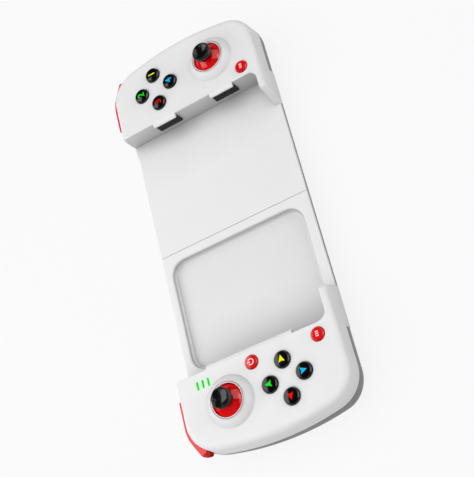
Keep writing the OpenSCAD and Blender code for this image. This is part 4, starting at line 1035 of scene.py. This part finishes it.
# %% [markdown]
# ## Shoulder buttons
# The red bumper follows the side of the grip as an even strip and swells towards its end round the corner.
# Its section is carried along the corner; the swelling grows with the square of the way, and the round of
# its lower edge grows too. Each column of points stops where it meets the slanted cut of the end. The
# trigger hangs on a pin below.

# %% Bumpers and triggers
BUMPER_LO, BUMPER_HI, BUMPER_START, BUMPER_INNER = 17.0, 22.6, 77.2, 3.7
END_TURN, END_SLOPE, END_SKEW, END_RISE, TOP_FLAT = radians(51.5), np.tan(radians(24)), 0.7, 8.9, 2.6
PROUD, SWELL, SWELL_WAY, EDGE_R, HIDDEN = 1.4, 1.6, 7.5, 0.35, 9.0


def bumper(side):
    """Section points at offsets from the grip's line, on a path that runs straight and then round the corner.

    The section goes from the hidden inner edge along the underside, up round both edges and back over the
    top; `inward` is how far each of its points lies in from the outermost line."""
    straight = CORNER_X - BUMPER_START
    end = straight + CORNER_HI * END_TURN
    ease = np.r_[0.0, 0.1, 0.6, np.linspace(2, 98.5, 80), 99.5, 99.9, 100][:, None] / 100
    shrink = np.r_[0.3, 0.12, 0.02, np.zeros(80), 0.02, 0.1, 0.25][:, None]
    foot = 1.6 + 2.6 * np.clip((ease * end - end + SWELL_WAY) / SWELL_WAY, 0, 1)
    below = angles(-90, 0, 9)
    above = angles(0, 90, 6)
    flat = 0 * ease
    z = np.hstack([BUMPER_LO + flat, BUMPER_LO + foot * (1 + np.sin(below)),
                   BUMPER_HI - EDGE_R * (1 - np.sin(above)) + flat, BUMPER_HI + flat, BUMPER_HI + flat])
    inward = np.hstack([HIDDEN + flat, foot * (1 - np.cos(below)), EDGE_R * (1 - np.cos(above)) + flat,
                        TOP_FLAT + flat, HIDDEN + flat])
    inside = inward == HIDDEN
    radius = np.where(inside, CORNER_HI - BUMPER_INNER, CORNER_HI + PROUD + SWELL - inward)
    slant = np.arcsin((BUMPER_HI - z) * END_SLOPE / radius) + END_SKEW * np.minimum(inward, TOP_FLAT) / radius
    last = np.minimum(END_TURN + slant, np.arccos(END_RISE / radius))
    way = ease * (straight + CORNER_HI * last)
    proud = PROUD + SWELL * np.clip((way - end + SWELL_WAY) / SWELL_WAY, 0, 1) ** 2
    offset = np.where(inside, -BUMPER_INNER, proud - inward - shrink)
    angle = np.clip(way - straight, 0, None) / CORNER_HI
    turned = way >= straight
    x = np.where(turned, CORNER_X + (CORNER_HI + offset) * np.sin(angle), BUMPER_START + way)
    y = np.where(turned, CORNER_Y + (CORNER_HI + offset) * np.cos(angle), GRIP_HI + offset)
    height = z - np.sign(z - (BUMPER_LO + BUMPER_HI) / 2) * shrink
    name = "l1_bumper" if side < 0 else "r1_bumper"
    piece = loft(name + "_skin", grid(x, y, height), side, sharp=40)
    return fit(piece, name + "_body", "red_gloss", name)


def trigger(side):
    """A softened side view carried along X; towards the corner its paddle draws in along the grip's round."""
    steps = [(8.2, 2.3), (9, 0.4), (9.2, -2), (8.9, -4.4), (8.4, -6.4), (8.9, -8.6), (6.8, -9.6), (5.2, -7.2),
             (4.2, -3.7), (2.4, -2.3)]
    paddle = soften(np.array(steps) + [PIN_Y, PIN_Z], [0.7, 0.8, 1.0, 0.9, 0.9, 0.7, 0.9, 1.0, 1.2, 0.8], 5)
    y, z = np.concatenate([paddle, arc(PIN_Y, PIN_Z, 2.3, 268, 92, 15)]).T
    x = TRIGGER_X + TRIGGER_W * np.r_[0, 0.006, 0.025, np.linspace(0.06, 0.94, 24), 0.975, 0.994, 1][:, None]
    shrink = np.r_[0.4, 0.15, 0.03, np.zeros(24), 0.03, 0.15, 0.4][:, None]
    round_r, paddle_l = 21.2, 9.6
    limit = CORNER_Y + np.sqrt(round_r ** 2 - np.clip(x - CORNER_X, 0, None) ** 2)
    draw = np.minimum(1, (limit - PIN_Y) / paddle_l)
    drawn_y = PIN_Y + (y - PIN_Y) * np.where(y > PIN_Y, draw, 1) - np.sign(y - PIN_Y - 4.5) * shrink
    drawn_z = z - np.sign(z - PIN_Z + 3.0) * shrink
    name = "l2_trigger" if side < 0 else "r2_trigger"
    piece = loft(name + "_skin", grid(x, drawn_y, drawn_z), side, sharp=40)
    return fit(piece, name + "_body", "red_gloss", name)


for side in (-1, 1):
    print(bumper(side).name, trigger(side).name)

# %% [markdown]
# ## Pads and lights
# The phone is held by black rubber pads with a diamond knurl. A knurl is two crossing sets of ridges, so
# the pad's face is a height over a fine grid, and its edge is pulled back to the block behind it. The three
# status lights are round-ended bars of green light guide.

# %% Pads and lights
KNURL_STEP, KNURL_DEEP, PAD_EDGE = 2.0, 0.36, 0.35


def zigzag(way):
    """Rises and falls between 0 and 1 once in each step of the knurl."""
    return np.abs((way / KNURL_STEP) % 1 - 0.5) * 2


def pad_points(y, width):
    """Grid over the pad's face: depth = the lower of two diagonal zigzags, fading out at the border."""
    half = width / 2
    across = np.linspace(-half, half, int(width * 6) + 1)[None, :]
    up = np.linspace(PAD_LO, PAD_HI, 49)[:, None]
    knurl = np.minimum(zigzag(across + up), zigzag(across - up))
    border = np.minimum(half - np.abs(across), PAD_HI - PAD_MID - np.abs(up - PAD_MID))
    border = np.clip(border / PAD_EDGE, 0, 1)
    x = lean_at(PAD_MID) - PAD_PROUD + PAD_EDGE * (1 - border) + KNURL_DEEP * border * (1 - knurl)
    return grid(x, y + across, up)


def pad_form(y, width):
    """Points and faces of one pad: its face, walls round the border and one flat back."""
    face = pad_points(y, width)
    rows, cols = face.shape[:2]
    count = rows * cols
    back = face.copy()
    back[..., 0] = lean_at(PAD_MID) + PAD_DEEP
    index = np.arange(count).reshape(rows, cols)
    quads = np.stack([index[:-1, :-1], index[:-1, 1:], index[1:, 1:], index[1:, :-1]], -1).reshape(-1, 4)
    edge = np.concatenate([index[0, :-1], index[:-1, -1], index[-1, :0:-1], index[:0:-1, 0]])
    follow = np.roll(edge, -1)
    walls = np.stack([follow, edge, edge + count, follow + count], 1)
    return [face, back], quads.tolist() + walls.tolist() + [(edge[::-1] + count).tolist()]


def pads(side):
    """The pads of one grip as one piece, without the points of their backs that no face uses."""
    name = "left_clamp_pad" if side < 0 else "right_clamp_pads"
    piece = build(name + "_knurled", *joined(pad_form(*pad) for pad in PADS[side]), side, sharp=50)
    with editing(piece.data) as form:
        bmesh.ops.delete(form, geom=[v for v in form.verts if not v.link_faces], context="VERTS")
    return fit(piece, HALF[side], "pad_rubber", name)


def light_bar(y):
    """One status light: a round-ended bar that narrows a little at its top."""
    outlines = [stadium(LIGHT_X, y, LIGHT_L - d, LIGHT_W - d) for d in (0, 0, 0.1, 0.3)]
    return loft("bar", stack(outlines, [24.0, FACE_Z - 0.02, FACE_Z + 0.06, FACE_Z + 0.1]), -1)


for side in (-1, 1):
    print(pads(side).name)
bars = [light_bar(y) for y in LIGHT_Y]
guide = box("light_bars", (LIGHT_X - LIGHT_L / 2, LIGHT_Y[1] - 4.05, 23.85),
            (LIGHT_X + LIGHT_L / 2, LIGHT_Y[1] + 4.05, 24.85), -1)
print(fit(carve(guide, bars, "UNION"), "left_half", "light_guide", "led_light_bars").name)

# %% [markdown]
# ## Screws
# Small self-tapping screws close the grips from below. Each head has a round edge and a cross recess, cut
# from one turned form and then copied to every place as arrays.

# %% Screws
def screw_form(length):
    """Head below zero, shank above, with two crossed blocks cut out of the head."""
    profile = [(0, -1.6), (1.2, -1.6), (1.6, -1.4), (1.8, -0.95), (1.8, 0), (1, 0), (1, length - 0.6),
               (0.35, length), (0, length)]
    crossed = [box("slit", (-x, -y, -2), (x, y, -0.8)) for x, y in ((1.15, 0.22), (0.22, 1.15))]
    return carve(revolve("screw", profile, (0, 0), 1, 32), crossed)


def screws(side):
    """Copies of the form's points, moved to every place."""
    sets = [([(side * x, y) for x, y in SCREWS], HEAD_Z, 12.4)]
    if side > 0:
        sets.append((PLATE_SCREWS, PLATE_HEAD_Z, 4.4))
    parts = []
    for places, low, length in sets:
        form = screw_form(length)
        cloud = np.array([v.co for v in form.data.vertices]) / MM
        polygons = [list(p.vertices) for p in form.data.polygons]
        parts += [(cloud + [x, y, low], polygons) for x, y in places]
        bpy.data.objects.remove(form)
    piece = build(SIDE[side] + "_screw_set", *joined(parts), sharp=30)
    return fit(piece, HALF[side], "steel", SIDE[side] + "_screws")


for side in (-1, 1):
    print(screws(side).name)

# %% [markdown]
# ## Springs and ribbon of the slide
# Two tension springs pull the halves together, and a pleated ribbon carries the signals across. Both
# stretch when the slide opens.

# %% Springs and ribbon
COIL_R, WIRE_R, SPRING_X, SPRING_L = 1.25, 0.25, 46.55, 17.9
RIBBON_X, RIBBON_L, RIBBON_HALF, FILM_HALF, PLEATS, PLEAT_H = 46.1, 18.8, 4, 0.15, 8, 1.2


def springs():
    """A circle swept along a helix; the wire's section lies in the plane of the coil's axis."""
    turns, steps, around = 9, 48, 12
    t = np.linspace(0, 1, turns * steps + 1)[:, None]
    angle = 2 * np.pi * turns * t
    section = circle(around)[None, :]
    out = COIL_R + WIRE_R * np.cos(section)
    x = SPRING_X + SPRING_L * t + WIRE_R * np.sin(section)
    z = SLIDER_TOP + 1.8 + out * np.sin(angle)
    faces = skin_faces(len(t), around)
    piece = build("spring_pair", *joined((grid(x, y + out * np.cos(angle), z), faces) for y in SPRING_Y))
    piece.data.materials.append(FINISH["steel"])
    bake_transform(piece)
    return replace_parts(piece, "slide_springs")


def ribbon():
    """A thin band whose height is a cosine of the way along, so that its pleats are round."""
    x = np.linspace(RIBBON_X, RIBBON_X + RIBBON_L, 241)[:, None]
    z = SLIDER_TOP + 1.65 - PLEAT_H * np.cos(2 * np.pi * PLEATS * (x - RIBBON_X) / RIBBON_L)
    slope = np.gradient(z[:, 0], x[:, 0])[:, None]
    scale = FILM_HALF / np.sqrt(1 + slope ** 2)
    y, up = np.array([(-RIBBON_HALF, 1), (RIBBON_HALF, 1), (RIBBON_HALF, -1), (-RIBBON_HALF, -1)]).T
    piece = loft("pleated_ribbon", grid(x - slope * scale * up, y, z + scale * up), sharp=60)
    piece.data.materials.append(FINISH["flex_film"])
    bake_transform(piece)
    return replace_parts(piece, "flex_ribbon")


print(springs().name, ribbon().name)

# %% [markdown]
# ## Finishes for the solids that stay
# Boards, battery, gimbals and pins already have their right shape, so they only get a better finish.

# %% Dress the remaining solids
METAL = ("_stick_module", "_trigger_pin", "_vibration_motor", "_stick_yoke", "_stick_rocker", "_stick_shaft")
STAY = {
    "circuit_board": ["left_main_board", "right_board"],
    "battery_foil": ["battery"],
    "silicone": ["left_membrane", "right_membrane"],
    "grey_plastic": ["slider_plate"],
    "flex_film": ["flex_tail"],
    "steel": ["usb_c_port"] + [side + part for side in ("left", "right") for part in METAL],
}
for slot, names in STAY.items():
    for name in names:
        node = frame["nodes"][name]
        node.data.materials.clear()
        node.data.materials.append(FINISH[slot])
shown = [name for name, node in frame["nodes"].items() if not node.hide_render]
print("solids that stay:", len(shown), "of which dressed:", sum(len(names) for names in STAY.values()))

# %% [markdown]
# ## Floor and light
# The object lies on a pale studio table. One large soft lamp hangs overhead, a little to the left and
# behind, and a weak one fills the near sides. A photographer would stand white boards where gloss should
# mirror them; here three lamps that light only glossy faces stand in their places. To the camera the table
# is mostly plain pale paper, so that its shadow stays soft, and a pale band along the horizon carries it
# on.

# %% Table
def seen(start):
    """1 for rays from the camera, from gloss and through glass, 0 for the rays that light matt faces."""
    camera_ray, gloss_ray, glass_ray = (
        start.node("ShaderNodeLightPath", {}, {}, out=number) for number in (0, 3, 6))
    return start.math("MAXIMUM", start.math("MAXIMUM", camera_ray, gloss_ray), glass_ray)


PAPER_SHARE, TABLE_REACH = 0.9, 9000
paper = bpy.data.materials.new("paper")
sheet = new_tree(paper)
matte = sheet.node("ShaderNodeBsdfDiffuse", {}, {"Color": linear(248, 248, 248)})
plain = sheet.node("ShaderNodeEmission", {}, {"Color": linear(251, 251, 251), "Strength": 1.0})
mixed = sheet.node("ShaderNodeMixShader", {}, {0: seen(sheet) * PAPER_SHARE, 1: matte, 2: plain})
sheet.node("ShaderNodeOutputMaterial", {}, {0: mixed})

corners = [(x * TABLE_REACH, y * TABLE_REACH, 0) for x, y in ((-1, -1), (1, -1), (1, 1), (-1, 1))]
floor = build("floor", corners, [[0, 1, 2, 3]])
floor.data.materials.append(paper)


# %% Lamps and world
def soft_lamp(name, place, aim, size, watts, gloss):
    """A square lamp that looks from its place to a point, in metres, and lights matt or glossy faces."""
    data = bpy.data.lights.new(name, "AREA")
    data.size, data.energy = size, watts
    lamp = bpy.data.objects.new(name, data)
    back = np.array(place) - np.array(aim)
    back = back / np.linalg.norm(back)
    across = np.cross([0, 1, 0.01], back)
    across = across / np.linalg.norm(across)
    put(lamp, across, np.cross(back, across), back, place)
    lamp.visible_camera, lamp.visible_glossy, lamp.visible_diffuse = False, gloss, not gloss


OBJECT = (0, 0, 0.02)
soft_lamp("ceiling", (-0.35, 0.65, 1.0), (-0.35, 0.65, 0), 2.1, 25.2, False)
soft_lamp("window", (0.2, 0.94, 0.9), (0.2, 0.94, 0.0), 1.0, 8.0, True)
soft_lamp("panel", (0.39, -0.5, 0.75), OBJECT, 0.9, 4.0, True)
soft_lamp("fill", (0.05, -1.1, 0.25), OBJECT, 0.8, 3.6, False)
soft_lamp("strip", (-0.05, -1.1, 0.5), OBJECT, 1.1, 9.5, True)

HORIZON, AMBIENT, PALE = 0.2, 0.05, 0.92
world = bpy.data.worlds.new("studio")
sky = new_tree(world)
ray = sky.node("ShaderNodeTexCoord", {}, {}, out=0)
low = sky.math("LESS_THAN", sky.node("ShaderNodeSeparateXYZ", {}, {0: ray}, out=2), HORIZON)
strength = seen(sky) * low * PALE + AMBIENT
backdrop = sky.node("ShaderNodeBackground", {}, {"Color": (1, 1, 1, 1), "Strength": strength})
sky.node("ShaderNodeOutputWorld", {}, {0: backdrop})
bpy.context.scene.world = world
bpy.context.scene.view_settings.view_transform = "Standard"
print("studio ready")
